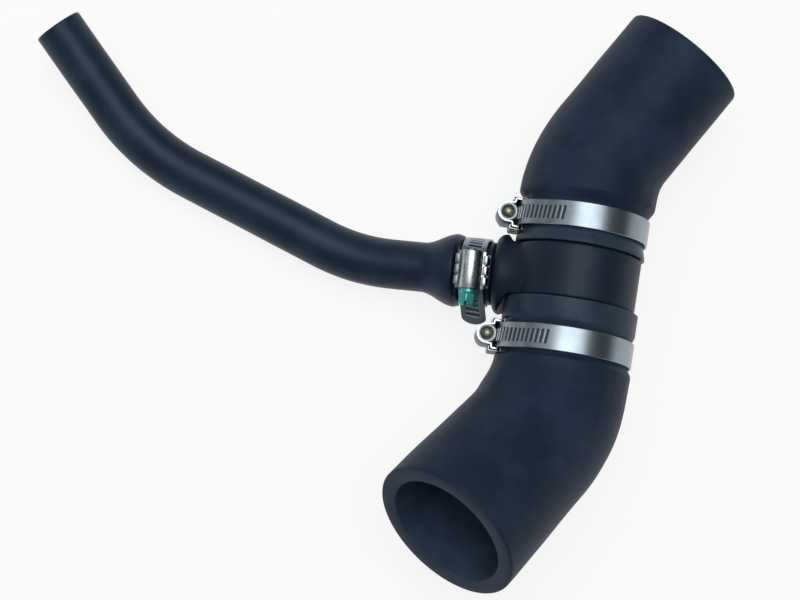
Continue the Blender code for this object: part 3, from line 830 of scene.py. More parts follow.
def turned(profile: Sequence[tuple[float, float]], sides: int, frame: Matrix,
           closed: bool = False) -> bmesh.types.BMesh:
    """Solid of revolution.

    Args:
        profile: (distance, radius) pairs along the frame's X axis.
        sides: facets round the axis.
        frame: where the axis lies.
        closed: whether the profile is a loop, as for a ring.

    Returns:
        The mesh in millimetres.
    """
    shape = bmesh.new()
    rings = []
    for distance, radius in profile:
        angles = [math.tau * side / sides for side in range(sides)]
        spots = [frame @ Vector((distance, radius * math.cos(a), radius * math.sin(a))) for a in angles]
        rings.append([shape.verts.new(spot) for spot in spots])
    join_rings(shape, rings, closed)
    return shape


def rounded(corner: tuple[float, float], start: float, sweep: float, radius: float, steps: int) -> list:
    """Points of an arc.

    Args:
        corner: the arc's centre.
        start: angle of the first point in degrees.
        sweep: how far it runs in degrees.
        radius: the arc's radius.
        steps: how many chords.

    Returns:
        The points.
    """
    points = []
    for step in range(steps + 1):
        angle = math.radians(start + sweep * step / steps)
        points.append((corner[0] + radius * math.cos(angle), corner[1] + radius * math.sin(angle)))
    return points


@dataclass
class TeeSizes:
    """Driving sizes of the tee, in millimetres and degrees."""

    heading: float = 80.8
    body_radius: float = 22.0
    upper_shoulder: float = 10.1
    lower_shoulder: float = 8.8
    shoulder_round: float = 0.35
    spigot_radius: float = 17.3
    spigot_end: float = 31.5
    spigot_wall: float = 3.0
    bead_height: float = 0.9
    bead_width: float = 3.0
    bead_from_end: float = 2.2
    branch_angle: float = 92.0
    branch_pitch: float = -10.0
    branch_body_radius: float = 11.8
    branch_shoulder: float = 28.0
    branch_root_radius: float = 17.0
    branch_neck_radius: float = 14.4
    branch_neck_at: float = 23.0
    branch_edge_reach: float = 3.0
    branch_spigot_radius: float = 8.0
    branch_spigot_end: float = 44.5
    branch_spigot_wall: float = 2.6
    branch_bead_height: float = 0.8
    end_round: float = 0.5
    end_run: float = 0.3
    flare_steps: int = 12
    root_sink: float = 3.0
    room_reach: float = 5.0
    room_height: float = 8.0
    room_gap: float = 0.4
    bore_overrun: float = 2.0

    @property
    def up(self) -> Vector:
        """Direction of the upper spigot.

        Returns:
            The unit vector.
        """
        return direction(self.heading, 0.0)

    @property
    def out(self) -> Vector:
        """Direction of the side outlet.

        Returns:
            The unit vector.
        """
        return direction(self.heading + self.branch_angle, self.branch_pitch)


@dataclass
class Tee:
    """The moulded tee: main tube, flared side outlet, stop beads and bores."""

    sizes: TeeSizes
    collar_radius: float = 23.5
    sides: int = 120
    voxel: float = 0.00052
    soft_share: float = 0.5
    soft_passes: int = 4

    def bead(self, radius: float, height: float, end: float) -> list:
        """A spigot's profile from its bead to its end face.

        Args:
            radius: the spigot's radius.
            height: the bead's height.
            end: the end face's place.

        Returns:
            (distance, radius) pairs.
        """
        centre = end - self.sizes.bead_from_end
        half = self.sizes.bead_width / 2.0
        steps = [-1.0 + 0.2 * step for step in range(11)]
        points = [(centre + half * s, radius + height * math.cos(s * math.pi / 2.0)) for s in steps]
        return points + [(end - self.sizes.end_run, radius), (end, radius - self.sizes.end_round)]

    def shoulder(self, place: float) -> list:
        """The body's rounded edge down to the spigot.

        Args:
            place: the shoulder's distance from the centre.

        Returns:
            (distance, radius) pairs.
        """
        s = self.sizes
        corner = (place - s.shoulder_round, s.body_radius - s.shoulder_round)
        return rounded(corner, 90.0, -90.0, s.shoulder_round, 5) + [(place, s.spigot_radius)]

    def outlet_profile(self) -> list:
        """The side outlet from inside the body, over its flare, to its end.

        Returns:
            (distance, radius) pairs.
        """
        s = self.sizes
        start = math.sqrt(s.body_radius ** 2 - s.branch_root_radius ** 2)
        points = [(s.spigot_radius - s.spigot_wall - s.root_sink, s.branch_root_radius)]
        for step in range(s.flare_steps + 1):
            share = step / s.flare_steps
            fall = share * (2.0 - share)
            radius = s.branch_root_radius + (s.branch_neck_radius - s.branch_root_radius) * fall
            points.append((start + (s.branch_neck_at - start) * share, radius))
        drop = s.branch_neck_radius - s.branch_body_radius
        for step in range(s.flare_steps + 1):
            angle = math.radians(90.0 * step / s.flare_steps)
            distance = s.branch_shoulder - s.branch_edge_reach * (1.0 - math.sin(angle))
            points.append((distance, s.branch_body_radius + drop * math.cos(angle)))
        points.append((s.branch_shoulder, s.branch_spigot_radius))
        return points + self.bead(s.branch_spigot_radius, s.branch_bead_height, s.branch_spigot_end)

    def build(self, ground: Ground, finishes: Finishes) -> None:
        """Join the tubes, clear the hoses' room, bore them through and soften the joint.

        Args:
            ground: where pieces are placed.
            finishes: the materials.
        """
        s = self.sizes
        main = axis_frame(Vector(), s.up, UP)
        side = axis_frame(Vector(), s.out, UP)
        bead = self.bead(s.spigot_radius, s.bead_height, s.spigot_end)
        half = self.shoulder(s.upper_shoulder) + bead
        other = self.shoulder(s.lower_shoulder) + bead
        profile = [(-distance, radius) for distance, radius in reversed(other)] + half
        tee = ground.piece("tee_body", turned(profile, self.sides, main), [finishes.tee])
        outlet = ground.piece("outlet", turned(self.outlet_profile(), self.sides, side), [finishes.tee])
        for shoulder, sign in ((s.upper_shoulder, 1.0), (s.lower_shoulder, -1.0)):
            reach = s.spigot_end + s.room_reach
            inner = s.spigot_radius - s.end_round
            ring = [
                (sign * shoulder, self.collar_radius + SEAT_GAP + s.room_gap),
                (sign * reach, s.body_radius + s.room_height),
                (sign * reach, inner),
                (sign * shoulder, inner),
            ]
            room = ground.piece("room", turned(ring, self.sides, main, closed=True), [finishes.tee])
            cut_or_join(outlet, room, "DIFFERENCE")
        cut_or_join(tee, outlet, "UNION")
        bore = s.spigot_radius - s.spigot_wall
        far = s.spigot_end + s.bore_overrun
        through = turned([(-far, bore), (far, bore)], self.sides, main)
        cut_or_join(tee, ground.piece("bore", through, [finishes.tee]), "DIFFERENCE")
        passage = s.branch_spigot_radius - s.branch_spigot_wall
        far = s.branch_spigot_end + s.bore_overrun
        across = turned([(0.0, passage), (far, passage)], self.sides // 2, side)
        cut_or_join(tee, ground.piece("passage", across, [finishes.tee]), "DIFFERENCE")
        remesh = tee.modifiers.new("even", "REMESH")
        remesh.mode = "VOXEL"
        remesh.voxel_size = self.voxel
        remesh.use_smooth_shade = True
        soften = tee.modifiers.new("soften", "SMOOTH")
        soften.factor = self.soft_share
        soften.iterations = self.soft_passes
        apply_modifiers(tee)
        tee.data.shade_smooth()
        dress(tee, Body.ASSEMBLY, Slot.PLASTIC, "tee_connector")


@dataclass
class HoseSizes:
    """Driving sizes of one hose, in millimetres."""

    name: str
    node: str
    start: float
    clamp_at: float
    spigot_end: float
    bore: float
    bead_height: float
    collar: float
    squeezed: float
    bulge: float
    settled: float
    end: float
    wall: float
    settle: float
    sides: int = 112
    ring_step: float = 0.9
    end_round: float = 0.8
    start_round: float = 0.8
    start_chamfer: float = 0.75
    collar_slope: float = 1.2
    saddle_half: float = 5.85
    saddle_length: float = 11.6
    band_half: float = 4.35
    swell_reach: float = 1.1
    swell_share: float = 0.75
    near_step: float = 0.3
    near_reach: float = 13.5
    station_gap: float = 0.4
    first_gap: float = 0.05
    bead_width: float = 3.0
    bead_from_end: float = 2.2
    waver: float = 0.12
    waver_size: float = 16.0
    folds: float = 0.0
    fold_fade: float = 14.0
    fold_turns: float = 5.2
    fold_length: float = 40.0
    fold_seed: float = 4.0
    free_start: float = 3.0
    free_end: float = 6.0
    # Strength of the painted sheen on the collar between the tee and the clamp.
    collar_sheen: float = 0.0
    saddle_spread: float = 0.09
    saddle_fade: float = 0.14
    bead_shares: tuple = (0.75, 0.35, 0.8)
    ends_margin: float = 0.01


@dataclass
class Hose:
    """A moulded hose wall, pushed on a beaded spigot and squeezed by a clamp."""

    sizes: HoseSizes
    route: Route
    screw_way: Vector

    def belted(self) -> list[tuple[float, float]]:
        """Outer keys away from the saddle, where the wall swells right beside the band.

        Returns:
            (length, radius) pairs.
        """
        s = self.sizes
        low = s.clamp_at - s.band_half - SEAT_GAP - s.start
        high = s.clamp_at + s.band_half + SEAT_GAP - s.start
        bead = s.spigot_end - s.bead_from_end - s.start
        swell = s.squeezed + (s.bulge - s.squeezed) * s.swell_share
        keys = [(0.0, s.collar), (low - s.swell_reach, s.collar), (low, s.squeezed), (high, s.squeezed)]
        keys += [(high + s.swell_reach, swell), (max(bead, high + s.swell_reach + 1.0), s.bulge)]
        return keys + [(bead + s.settle, s.settled), (self.route.length, s.end)]

    def away(self, spoke: Vector) -> float:
        """How far a side of the hose lies away from the clamp's saddle.

        Args:
            spoke: direction from the hose's axis.

        Returns:
            0 under the saddle, 1 where it doesn't cover the hose.
        """
        s = self.sizes
        reach = s.saddle_length / 2.0 / s.squeezed + s.saddle_spread
        return ease((spoke.angle(self.screw_way) - reach) / s.saddle_fade)

    def keys(self) -> tuple[list, list]:
        """Outer and inner (length, radius) keys.

        Returns:
            The outer keys under the saddle, and the bore's keys.
        """
        s = self.sizes
        total = self.route.length
        bead = s.spigot_end - s.bead_from_end - s.start
        low = s.clamp_at - s.saddle_half - s.start
        high = s.clamp_at + s.saddle_half - s.start
        spigot = s.bore + SEAT_GAP
        if low > s.end_round + s.collar_slope * 2.0:
            outer = [(0.0, s.collar), (low - s.collar_slope, s.collar), (low - SEAT_GAP, s.squeezed)]
        else:
            outer = [(0.0, s.squeezed)]
        outer += [(high + SEAT_GAP, s.squeezed), (max(bead, high + SEAT_GAP + s.collar_slope), s.bulge)]
        outer += [(bead + s.settle, s.settled), (total, s.end)]
        early, full, late = (s.bead_width * share for share in s.bead_shares)
        inner = [
            (0.0, spigot), (bead - early, spigot),
            (bead - full, spigot + s.bead_height), (bead + late, spigot + s.bead_height),
            (bead + s.settle, s.settled - s.wall), (total, s.end - s.wall),
        ]
        return outer, inner

    def outline(self) -> list[tuple[float, float]]:
        """Closed loop round the wall: outside, rounded mouth, inside and rounded start.

        Returns:
            (length, radius) pairs.
        """
        s = self.sizes
        total = self.route.length
        outer, inner = self.keys()
        span = total - 2.0 * s.end_round
        wide = round(span / s.ring_step)
        stations = [s.end_round + span * step / wide for step in range(wide + 1)]
        middle = s.clamp_at - s.start
        fine = round(s.near_reach / s.near_step)
        near = [middle + s.near_step * step for step in range(-fine, fine + 1)]
        near = [place for place in near if place > s.start_round]
        low, high = near[0] - s.station_gap, near[-1] + s.station_gap
        stations = sorted([place for place in stations if place < low or place > high] + near)
        loop = []
        first = (s.start_round, outer[0][1] - s.start_round)
        loop += rounded(first, 180.0, -90.0, s.start_round, 4)
        firm = s.start_round + s.first_gap
        loop += [(place, read_profile(outer, place)) for place in stations if place > firm]
        last = (total - s.end_round, s.end - s.end_round)
        loop += rounded(last, 90.0, -90.0, s.end_round, 4)[1:]
        mouth = s.end - s.wall
        edge = s.end_round * 0.5
        loop += rounded((total - edge, mouth + edge), 0.0, -90.0, edge, 3)
        depths = [place for place in reversed(stations) if place > s.start_chamfer + s.first_gap]
        loop += [(place, read_profile(inner, place)) for place in depths]
        loop += [(s.start_chamfer, inner[0][1]), (0.0, inner[0][1] + s.start_chamfer)]
        return loop

    def waver(self, point: Vector, length: float, angle: float, outside: bool) -> float:
        """Small unevenness of a moulded wall, and soft folds past a clamp.

        Args:
            point: the place in millimetres.
            length: how far along the hose.
            angle: where round the hose.
            outside: whether it is on the outer face; the bore stays even.

        Returns:
            Millimetres outwards.
        """
        s = self.sizes
        if not outside:
            return 0.0
        past = length - (s.clamp_at + s.saddle_half - s.start)
        free = ease(past / s.free_start) * ease((self.route.length - length) / s.free_end)
        uneven = noise.noise(point / s.waver_size) * s.waver
        spot = Vector((angle * s.fold_turns, past / s.fold_length, s.fold_seed))
        fold = s.folds * math.exp(-max(past, 0.0) / s.fold_fade) * noise.noise(spot)
        return (uneven + fold) * free

    def build(self, ground: Ground, finishes: Finishes) -> None:
        """Sweep the outline round the route.

        Args:
            ground: where pieces are placed.
            finishes: the materials.
        """
        s = self.sizes
        shape = bmesh.new()
        loop = self.outline()
        rim = next(
            index for index, (before, after) in enumerate(zip(loop, loop[1:]))
            if after[0] < before[0] - 1e-6 and index > len(loop) // 8
        )
        belted = self.belted()
        ends = (s.start_round + s.ends_margin, self.route.length - s.end_round - s.ends_margin)
        spokes = self.spokes(sorted({pair[0] for pair in loop}))
        sheen_mask = shape.verts.layers.float.new("collar_sheen")
        edge = s.clamp_at - s.saddle_half - s.start
        rings = []
        for index, (length, radius) in enumerate(loop):
            point, normal, binormal = spokes[length]
            ring = []
            for side in range(s.sides):
                angle = math.tau * side / s.sides
                spoke = normal * math.cos(angle) + binormal * math.sin(angle)
                reach = radius
                if index <= rim and ends[0] < length < ends[1]:
                    reach += (read_profile(belted, length) - radius) * self.away(spoke)
                spot = point + spoke * reach
                vertex = shape.verts.new(spot + spoke * self.waver(spot, length, angle, index <= rim))
                # The collar between the tee and the clamp is marked for painted sheen.
                vertex[sheen_mask] = s.collar_sheen * (1.0 - ease(length - edge))
                ring.append(vertex)
            rings.append(ring)
        join_rings(shape, rings, closed=True)
        # Faces inside the bore take the lining with painted light.
        inside = {vertex for ring in rings[rim + 1:] for vertex in ring}
        for face in shape.faces:
            if all(vertex in inside for vertex in face.verts):
                face.material_index = 1
        outside = finishes.slim if s.end < SLIM_HOSE_RADIUS else finishes.hose
        made = ground.piece(s.name, shape, [outside, finishes.painted_light_lining])
        dress(made, Body.ASSEMBLY, Slot.RUBBER, s.node)

    def spokes(self, lengths: Iterable[float]) -> dict:
        """Centre and two untwisted spoke directions at each length.

        Args:
            lengths: rising lengths.

        Returns:
            The centre and the two directions by length.
        """
        found = {}
        normal = None
        previous = None
        for length in lengths:
            point, along = self.route.at(length)
            if normal is None:
                normal = along.orthogonal().normalized()
            else:
                normal = (previous.rotation_difference(along) @ normal).normalized()
            previous = along
            found[length] = (point, normal, along.cross(normal))
        return found


@dataclass
class ClampSizes:
    """Driving sizes shared by the worm-drive clamps, in millimetres and degrees."""

    band_width: float = 8.7
    band_thickness: float = 0.7
    band_edge: float = 0.14
    groove_length: float = 4.7
    groove_width: float = 1.1
    groove_floor: float = 0.62
    groove_depth: float = 0.42
    grooves_on_tail: int = 6
    tail_length: float = 13.4
    tail_tip: float = 2.5
    saddle_thickness: float = 0.5
    saddle_length: float = 11.6
    tab_thickness: float = 0.4
    tab_width: float = 3.0
    tab_fold: float = 1.3
    tab_spacing: float = 3.77
    housing_length: float = 13.0
    sheet: float = 0.6
    web: float = 0.7
    web_edge: float = 3.05
    # Levels of painted shade, with a rougher finish, on the web at the tip and down the cap's sides.
    web_dull_and_shade: float = 0.55
    side_dull_and_shade: float = 0.95
    pitch: float = 1.8
    crest: float = 2.8
    root: float = 2.15
    bite: float = 0.25
    thread_foot: float = 0.78
    thread_crest: float = 0.28
    end_play: float = 0.3
    journal: float = 1.5
    journal_reach: float = 0.9
    nub: float = 0.9
    collar_radius: float = 3.05
    collar_length: float = 1.5
    across_flats: float = 5.5
    head_length: float = 4.2
    slot_width: float = 0.9
    slot_depth: float = 1.3
    strip_inset: float = 1.0
    strip_lead: float = 0.06
    strip_change: float = 11.0
    groove_slope: float = 0.30
    groove_edge: float = 0.12
    tail_narrow: float = 0.20
    shear_start: float = 0.15
    shear_fade: float = 1.6
    cap_bend: float = 0.45
    cap_fillet: float = 0.62
    cap_round: float = 0.12
    rim_round: float = 0.75
    rim_share: float = 0.8
    lip: tuple = (0.12, 0.34, 0.45)
    lip_drop: float = 0.45
    lip_flare: float = 0.15
    web_back: float = 0.1
    bearing_dip: float = 0.45
    bearing_cutter: tuple = (12.0, 6.0, 8.0)
    crown_reach: float = 1.0
    # Tilts in degrees over which the painted shade rises down the sides.
    dull_and_shade_from: float = 35.0
    dull_and_shade_over: float = 30.0
    tab_bend: float = 0.35
    tab_root: float = 0.4
    tab_round: float = 0.1
    head_sides: int = 72
    head_dome: tuple = ((0.9, 9.0), (0.6, 3.12), (0.25, 2.92), (0.0, 2.55))
    head_corner: float = 0.06
    head_round: float = 0.09
    head_sink: float = 0.05
    thread_sink: float = 0.25
    thread_inset: float = 0.2
    collar_edges: tuple = (0.25, 0.45)
    face_reach: float = 0.35
    nub_share: float = 0.35
    nub_gap: float = 0.05
    nub_ends: tuple = (0.6, 0.9)
    nub_round: float = 0.12
    nub_foot: float = 0.1
    journal_round: float = 0.2
    root_taper: float = 0.92
    taper_length: float = 0.3
    shortest_flat: float = 0.3
    closest_rows: float = 0.004
    column_shares: tuple = (0.35, 0.7)
    edge_columns: tuple = (0.9, 0.35)
    bearing_sides: int = 72
    worm_sides: int = 64

    @property
    def wall(self) -> float:
        """Half the clear width between the housing's side walls.

        Returns:
            The width in millimetres.
        """
        return self.band_width / 2.0 + LAYER_GAP

    @property
    def saddle_half(self) -> float:
        """Half the saddle's width over its tabs.

        Returns:
            The width in millimetres.
        """
        return self.wall + self.sheet + LAYER_GAP + self.tab_thickness


@dataclass
class ClampPlace:
    """Where one clamp sits and what sets it apart from the others."""

    label: str
    body: Body
    joint: str
    hose_radius: float
    hose_axis: Vector
    grooves: int
    tail_lift: float = 0.0
    tail_drift: float = 0.0
    pale_tip: bool = True
    # Levels of painted shade, with a rougher finish, on the cap's crown and on its flanges.
    crown_dull_and_shade: float = 0.93
    flange_dull_and_shade: float = 0.0


class Recipe:
    """A Geometry Nodes tree with named inputs, evaluated once for each piece."""

    def __init__(self, name: str, inputs: Sequence[tuple[str, str]]) -> None:
        """Start the tree.

        Args:
            name: the tree's name.
            inputs: name and socket type of each input but the finish.
        """
        self.name = name
        self.tree = bpy.data.node_groups.new(name, "GeometryNodeTree")
        self.keys: dict[str, str] = {}
        for label, kind in (*inputs, ("Finish", "NodeSocketMaterial")):
            socket = self.tree.interface.new_socket(name=label, in_out="INPUT", socket_type=kind)
            self.keys[label] = socket.identifier
        self.tree.interface.new_socket(name="Geometry", in_out="OUTPUT", socket_type="NodeSocketGeometry")
        self.given = self.tree.nodes.new("NodeGroupInput").outputs

    def node(self, kind: str, inputs: dict, output: str, mode: str = "") -> bpy.types.NodeSocket:
        """Add a node.

        Args:
            kind: the node's type.
            inputs: values, or sockets to link, by socket name.
            output: name of the wanted output.
            mode: the node's mode, set before its sockets, if it has one.

        Returns:
            The wanted output.
        """
        node = self.tree.nodes.new(kind)
        if mode:
            node.mode = mode
        for key, value in inputs.items():
            if isinstance(value, bpy.types.NodeSocket):
                self.tree.links.new(value, node.inputs[key])
            else:
                node.inputs[key].default_value = value
        return node.outputs[output]

    def close(self, geometry: bpy.types.NodeSocket) -> None:
        """Realize the geometry, give it the finish and send it out.

        Args:
            geometry: the last node's output.
        """
        realized = self.node("GeometryNodeRealizeInstances", {"Geometry": geometry}, "Geometry")
        inputs = {"Geometry": realized, "Material": self.given["Finish"]}
        coated = self.node("GeometryNodeSetMaterial", inputs, "Geometry")
        result = self.tree.nodes.new("NodeGroupOutput")
        self.tree.links.new(coated, result.inputs["Geometry"])

    def evaluate(self, values: dict) -> bpy.types.Mesh:
        """Make one piece's mesh.

        Args:
            values: the tree's inputs by name.

        Returns:
            A plain mesh.
        """
        host = bpy.data.objects.new(self.name, bpy.data.meshes.new(self.name))
        bpy.context.scene.collection.objects.link(host)
        modifier = host.modifiers.new(self.name, "NODES")
        modifier.node_group = self.tree
        for name, value in values.items():
            modifier[self.keys[name]] = value
        apply_modifiers(host)
        mesh = host.data
        bpy.data.objects.remove(host, do_unlink=True)
        return mesh


class ThreadTree(Recipe):
    """A worm's thread: a spiral swept by a trapezium."""

    def __init__(self) -> None:
        """Build the tree."""
        names = ("Turns", "Radius", "Length", "Depth", "Foot", "Crest")
        super().__init__("worm_thread", [(name, "NodeSocketFloat") for name in names])
        given = self.given
        spiral = self.node("GeometryNodeCurveSpiral", {
            "Resolution": THREAD_STEPS, "Reverse": True, "Rotations": given["Turns"],
            "Start Radius": given["Radius"], "End Radius": given["Radius"], "Height": given["Length"],
        }, "Curve")
        upright = self.node("GeometryNodeSetCurveNormal", {"Curve": spiral}, "Curve", "Z_UP")
        section = self.node("GeometryNodeCurvePrimitiveQuadrilateral", {
            "Height": given["Depth"], "Bottom Width": given["Foot"], "Top Width": given["Crest"],
            "Offset": 0.0,
        }, "Curve", "TRAPEZOID")
        flat = (0.0, 0.0, -math.pi / 2.0)
        turned_section = self.node(
            "GeometryNodeTransform", {"Rotation": flat, "Geometry": section}, "Geometry",
        )
        inputs = {"Fill Caps": True, "Curve": upright, "Profile Curve": turned_section}
        self.close(self.node("GeometryNodeCurveToMesh", inputs, "Mesh"))

    def make(self, turns: float, sizes: ClampSizes, finish: bpy.types.Material) -> bpy.types.Mesh:
        """One worm's thread, along +Z from the origin, in millimetres.

        Args:
            turns: how many times the thread goes round.
            sizes: the clamp's sizes.
            finish: the thread's material.

        Returns:
            A plain mesh.
        """
        depth = sizes.crest - sizes.root
        sink = sizes.thread_sink
        return self.evaluate({
            "Turns": turns, "Radius": sizes.root + (depth - sink) / 2.0, "Length": turns * sizes.pitch,
            "Depth": depth + sink, "Foot": sizes.pitch * sizes.thread_foot,
            "Crest": sizes.pitch * sizes.thread_crest, "Finish": finish,
        })


class RowTree(Recipe):
    """Copies of one piece in a straight row."""

    def __init__(self) -> None:
        """Build the tree."""
        super().__init__("row_of_tabs", (
            ("Piece", "NodeSocketObject"), ("Count", "NodeSocketInt"), ("Spacing", "NodeSocketVector"),
            ("First", "NodeSocketVector"),
        ))
        given = self.given
        inputs = {"Count": given["Count"], "Start Location": given["First"], "Offset": given["Spacing"]}
        line = self.node("GeometryNodeMeshLine", inputs, "Mesh", "OFFSET")
        piece = self.node("GeometryNodeObjectInfo", {"Object": given["Piece"]}, "Geometry")
        inputs = {"Points": line, "Instance": piece}
        self.close(self.node("GeometryNodeInstanceOnPoints", inputs, "Instances"))

    def make(self, piece: bpy.types.Object, count: int, first: Vector, spacing: Vector,
             finish: bpy.types.Material) -> bpy.types.Mesh:
        """One row.

        Args:
            piece: the piece that repeats.
            count: how many copies.
            first: the first copy's place.
            spacing: step from copy to copy.
            finish: the row's material.

        Returns:
            A plain mesh.
        """
        values = {"Piece": piece, "Count": count, "Spacing": spacing, "First": first, "Finish": finish}
        return self.evaluate(values)


@dataclass
class WormClamp:
    """One worm-drive clamp: hose along local X, screw along Y with its head at +Y, housing up at +Z."""

    place: ClampPlace
    sizes: ClampSizes
    joint: dict
    ground: Ground
    finishes: Finishes
    thread: ThreadTree
    row: RowTree

    def __post_init__(self) -> None:
        """Work out the radii and the clamp's frame from its screw's axis."""
        s = self.sizes
        self.saddle_radius = self.place.hose_radius + SEAT_GAP
        self.ring_radius = self.saddle_radius + s.band_thickness / 2.0
        lower = self.saddle_radius + s.saddle_thickness + LAYER_GAP
        self.under_radius = lower + s.band_thickness / 2.0
        self.over_radius = self.under_radius + s.band_thickness + LAYER_GAP
        self.band_top = self.over_radius + s.band_thickness / 2.0
        self.screw_height = self.band_top - s.bite + s.crest
        y_axis = Vector(self.joint["axis"]).normalized()
        x_axis = (self.place.hose_axis - y_axis * self.place.hose_axis.dot(y_axis)).normalized()
        z_axis = x_axis.cross(y_axis)
        screw = (Vector(self.joint["pos_m"]) - self.ground.centre) / MM
        self.frame = Matrix((x_axis, y_axis, z_axis)).transposed().to_4x4()
        self.frame.translation = screw - z_axis * self.screw_height

    def name(self, part: str) -> str:
        """Name of one of the clamp's pieces.

        Args:
            part: the piece's short name.

        Returns:
            The full name.
        """
        return f"{self.place.label}_{part}"

    def polar(self, angle: float, radius: float) -> Vector:
        """Point in the YZ plane at an angle from +Z towards +Y.

        Args:
            angle: radians.
            radius: millimetres from the hose's axis.

        Returns:
            The point.
        """
        return Vector((0.0, radius * math.sin(angle), radius * math.cos(angle)))

    def strip_radius(self, angle: float) -> float:
        """Centre radius of the strip.

        Args:
            angle: 0 at its fixed end under the housing, a full turn where it lies over that end.

        Returns:
            The radius.
        """
        s = self.sizes
        edge = s.saddle_length / 2.0 / self.saddle_radius + s.strip_lead
        change = s.strip_change / self.saddle_radius
        if angle < math.pi:
            share = ease((angle - edge) / change)
            return self.under_radius + (self.ring_radius - self.under_radius) * share
        share = ease((math.tau - angle - edge) / change)
        return self.over_radius + (self.ring_radius - self.over_radius) * share

    def groove_angles(self) -> list[float]:
        """Angles midway between grooves, a worm pitch apart, with a groove centred under the worm.

        Returns:
            The angles in rising order.
        """
        s = self.sizes
        angle = math.tau - s.pitch / 2.0 / self.over_radius
        before = []
        for _ in range(self.place.grooves):
            before.append(angle)
            angle -= s.pitch / self.strip_radius(angle)
        after = []
        angle = math.tau + s.pitch / 2.0 / self.over_radius
        while angle < math.tau + s.housing_length / 2.0 / self.over_radius:
            after.append(angle)
            angle += s.pitch / self.over_radius
        return before[::-1] + after

    def strip_rows(self) -> list[tuple[Vector, float]]:
        """Centre points along the strip.

        Returns:
            Each point with its share of the way across a groove's pitch, or -1 where there is none.
        """
        s = self.sizes
        marks = self.groove_angles()
        start = -(s.saddle_length / 2.0 - s.strip_inset) / self.under_radius
        rows = []
        for step in range(PLAIN_STRIP_ROWS):
            angle = start + (marks[0] - start) * step / PLAIN_STRIP_ROWS
            rows.append((self.polar(angle, self.strip_radius(angle)), -1.0))
        for low, high in zip(marks, marks[1:]):
            for share in GROOVE_SHARES:
                angle = low + (high - low) * share
                rows.append((self.polar(angle, self.strip_radius(angle)), share))
        last = marks[-1]
        place = self.polar(last, self.over_radius)
        fall = last - math.tau - math.radians(self.place.tail_lift)
        along = Vector((self.place.tail_drift, math.cos(fall), -math.sin(fall))).normalized()
        for groove in range(s.grooves_on_tail):
            for share in GROOVE_SHARES:
                rows.append((place + along * s.pitch * (groove + share), share))
        end = place + along * s.tail_length
        flat = s.tail_length - s.tail_tip - s.pitch * s.grooves_on_tail
        if flat > s.shortest_flat:
            rows.append((place + along * (s.pitch * s.grooves_on_tail + flat / 2.0), -1.0))
        for step in range(TAIL_STEPS + 1):
            share = math.sin(step / TAIL_STEPS * math.pi / 2.0)
            rows.append((end - along * s.tail_tip * (1.0 - share), -1.0))
        steps = zip(rows, rows[1:])
        kept = [row for row, after in steps if (after[0] - row[0]).length > s.closest_rows]
        return kept + rows[-1:]

    def columns(self) -> list[float]:
        """Places across the strip, closer at the grooves' ends and the edges.

        Returns:
            The places in rising order.
        """
        s = self.sizes
        half = s.band_width / 2.0
        end = s.groove_length / 2.0
        right = [end * share for share in s.column_shares]
        right += [end - s.groove_slope, end - s.groove_edge, end, end + s.groove_edge]
        right += [half - inset for inset in (*s.edge_columns, s.band_edge)]
        return [-x for x in reversed(right)] + [0.0] + right

    def dip(self, x: float, share: float) -> float:
        """How deep a groove is pressed at a place across the strip and a share of its pitch.

        Args:
            x: place across the strip.
            share: share of the pitch, or -1 where there is no groove.

        Returns:
            0 on the strip's face, 1 on the groove's floor.
        """
        s = self.sizes
        if share < 0.0:
            return 0.0
        past = abs(x) - s.groove_length / 2.0 + s.groove_slope
        across = 1.0 - ease(past / (s.groove_slope + s.groove_edge))
        wide = s.groove_width / 2.0 / s.pitch
        floor = s.groove_floor / 2.0 / s.pitch
        along = 1.0 - ease((abs(share - 0.5) - floor) / (wide - floor))
        return across * along

    def section(self, share: float) -> list[tuple[float, float, float]]:
        """Points round the strip's section.

        Args:
            share: share of the way across a groove's pitch, or -1 where there is none.

        Returns:
            (place across, height, how far pressed) of each point.
        """
        s = self.sizes
        columns = self.columns()
        lift = s.band_thickness / 2.0
        half = s.band_width / 2.0
        flank = lift - s.band_edge
        dips = [self.dip(x, share) for x in columns]
        top = [(x, lift - dip * s.groove_depth, dip) for x, dip in zip(columns, dips)]
        under = [(x, -lift, 0.0) for x in reversed(columns[::3])]
        right = [(half, flank, 0.0), (half, -flank, 0.0)]
        left = [(-half, -flank, 0.0), (-half, flank, 0.0)]
        return top + right + under + left

    def make_band(self) -> None:
        """The strip: top and bottom skins with rounded edges, grooves pressed into the top."""
        s = self.sizes
        rows = self.strip_rows()
        slope = s.pitch / (math.tau * s.crest)
        shape = bmesh.new()
        pressed = shape.verts.layers.float.new("groove_shade")
        strip = shape.loops.layers.uv.new("strip")
        places: dict[bmesh.types.BMVert, tuple[float, float]] = {}
        rings = []
        run = 0.0
        for index, (point, share) in enumerate(rows):
            before = rows[max(index - 1, 0)][0]
            after = rows[min(index + 1, len(rows) - 1)][0]
            run += (point - before).length
            along = (after - before).normalized()
            outward = Vector((1.0, 0.0, 0.0)).cross(along).normalized()
            tail = (rows[-1][0] - point).length
            width = 1.0
            sheared = float(share >= 0.0)
            if tail < s.tail_tip:
                lean = ease(1.0 - (s.tail_tip - tail) / s.tail_tip)
                sheared = sheared or lean
                if index > len(rows) - TAIL_STEPS - 8:
                    width = max(s.tail_narrow, math.sqrt(1.0 - (1.0 - tail / s.tail_tip) ** 2))
            ring = []
            for x, height, depth in self.section(share):
                past = (abs(x) - s.groove_length / 2.0 - s.shear_start) / s.shear_fade
                shift = -x * slope * sheared * (1.0 - ease(past))
                spot = point + Vector((x * width, 0.0, 0.0)) + outward * height + along * shift
                vertex = shape.verts.new(self.frame @ spot)
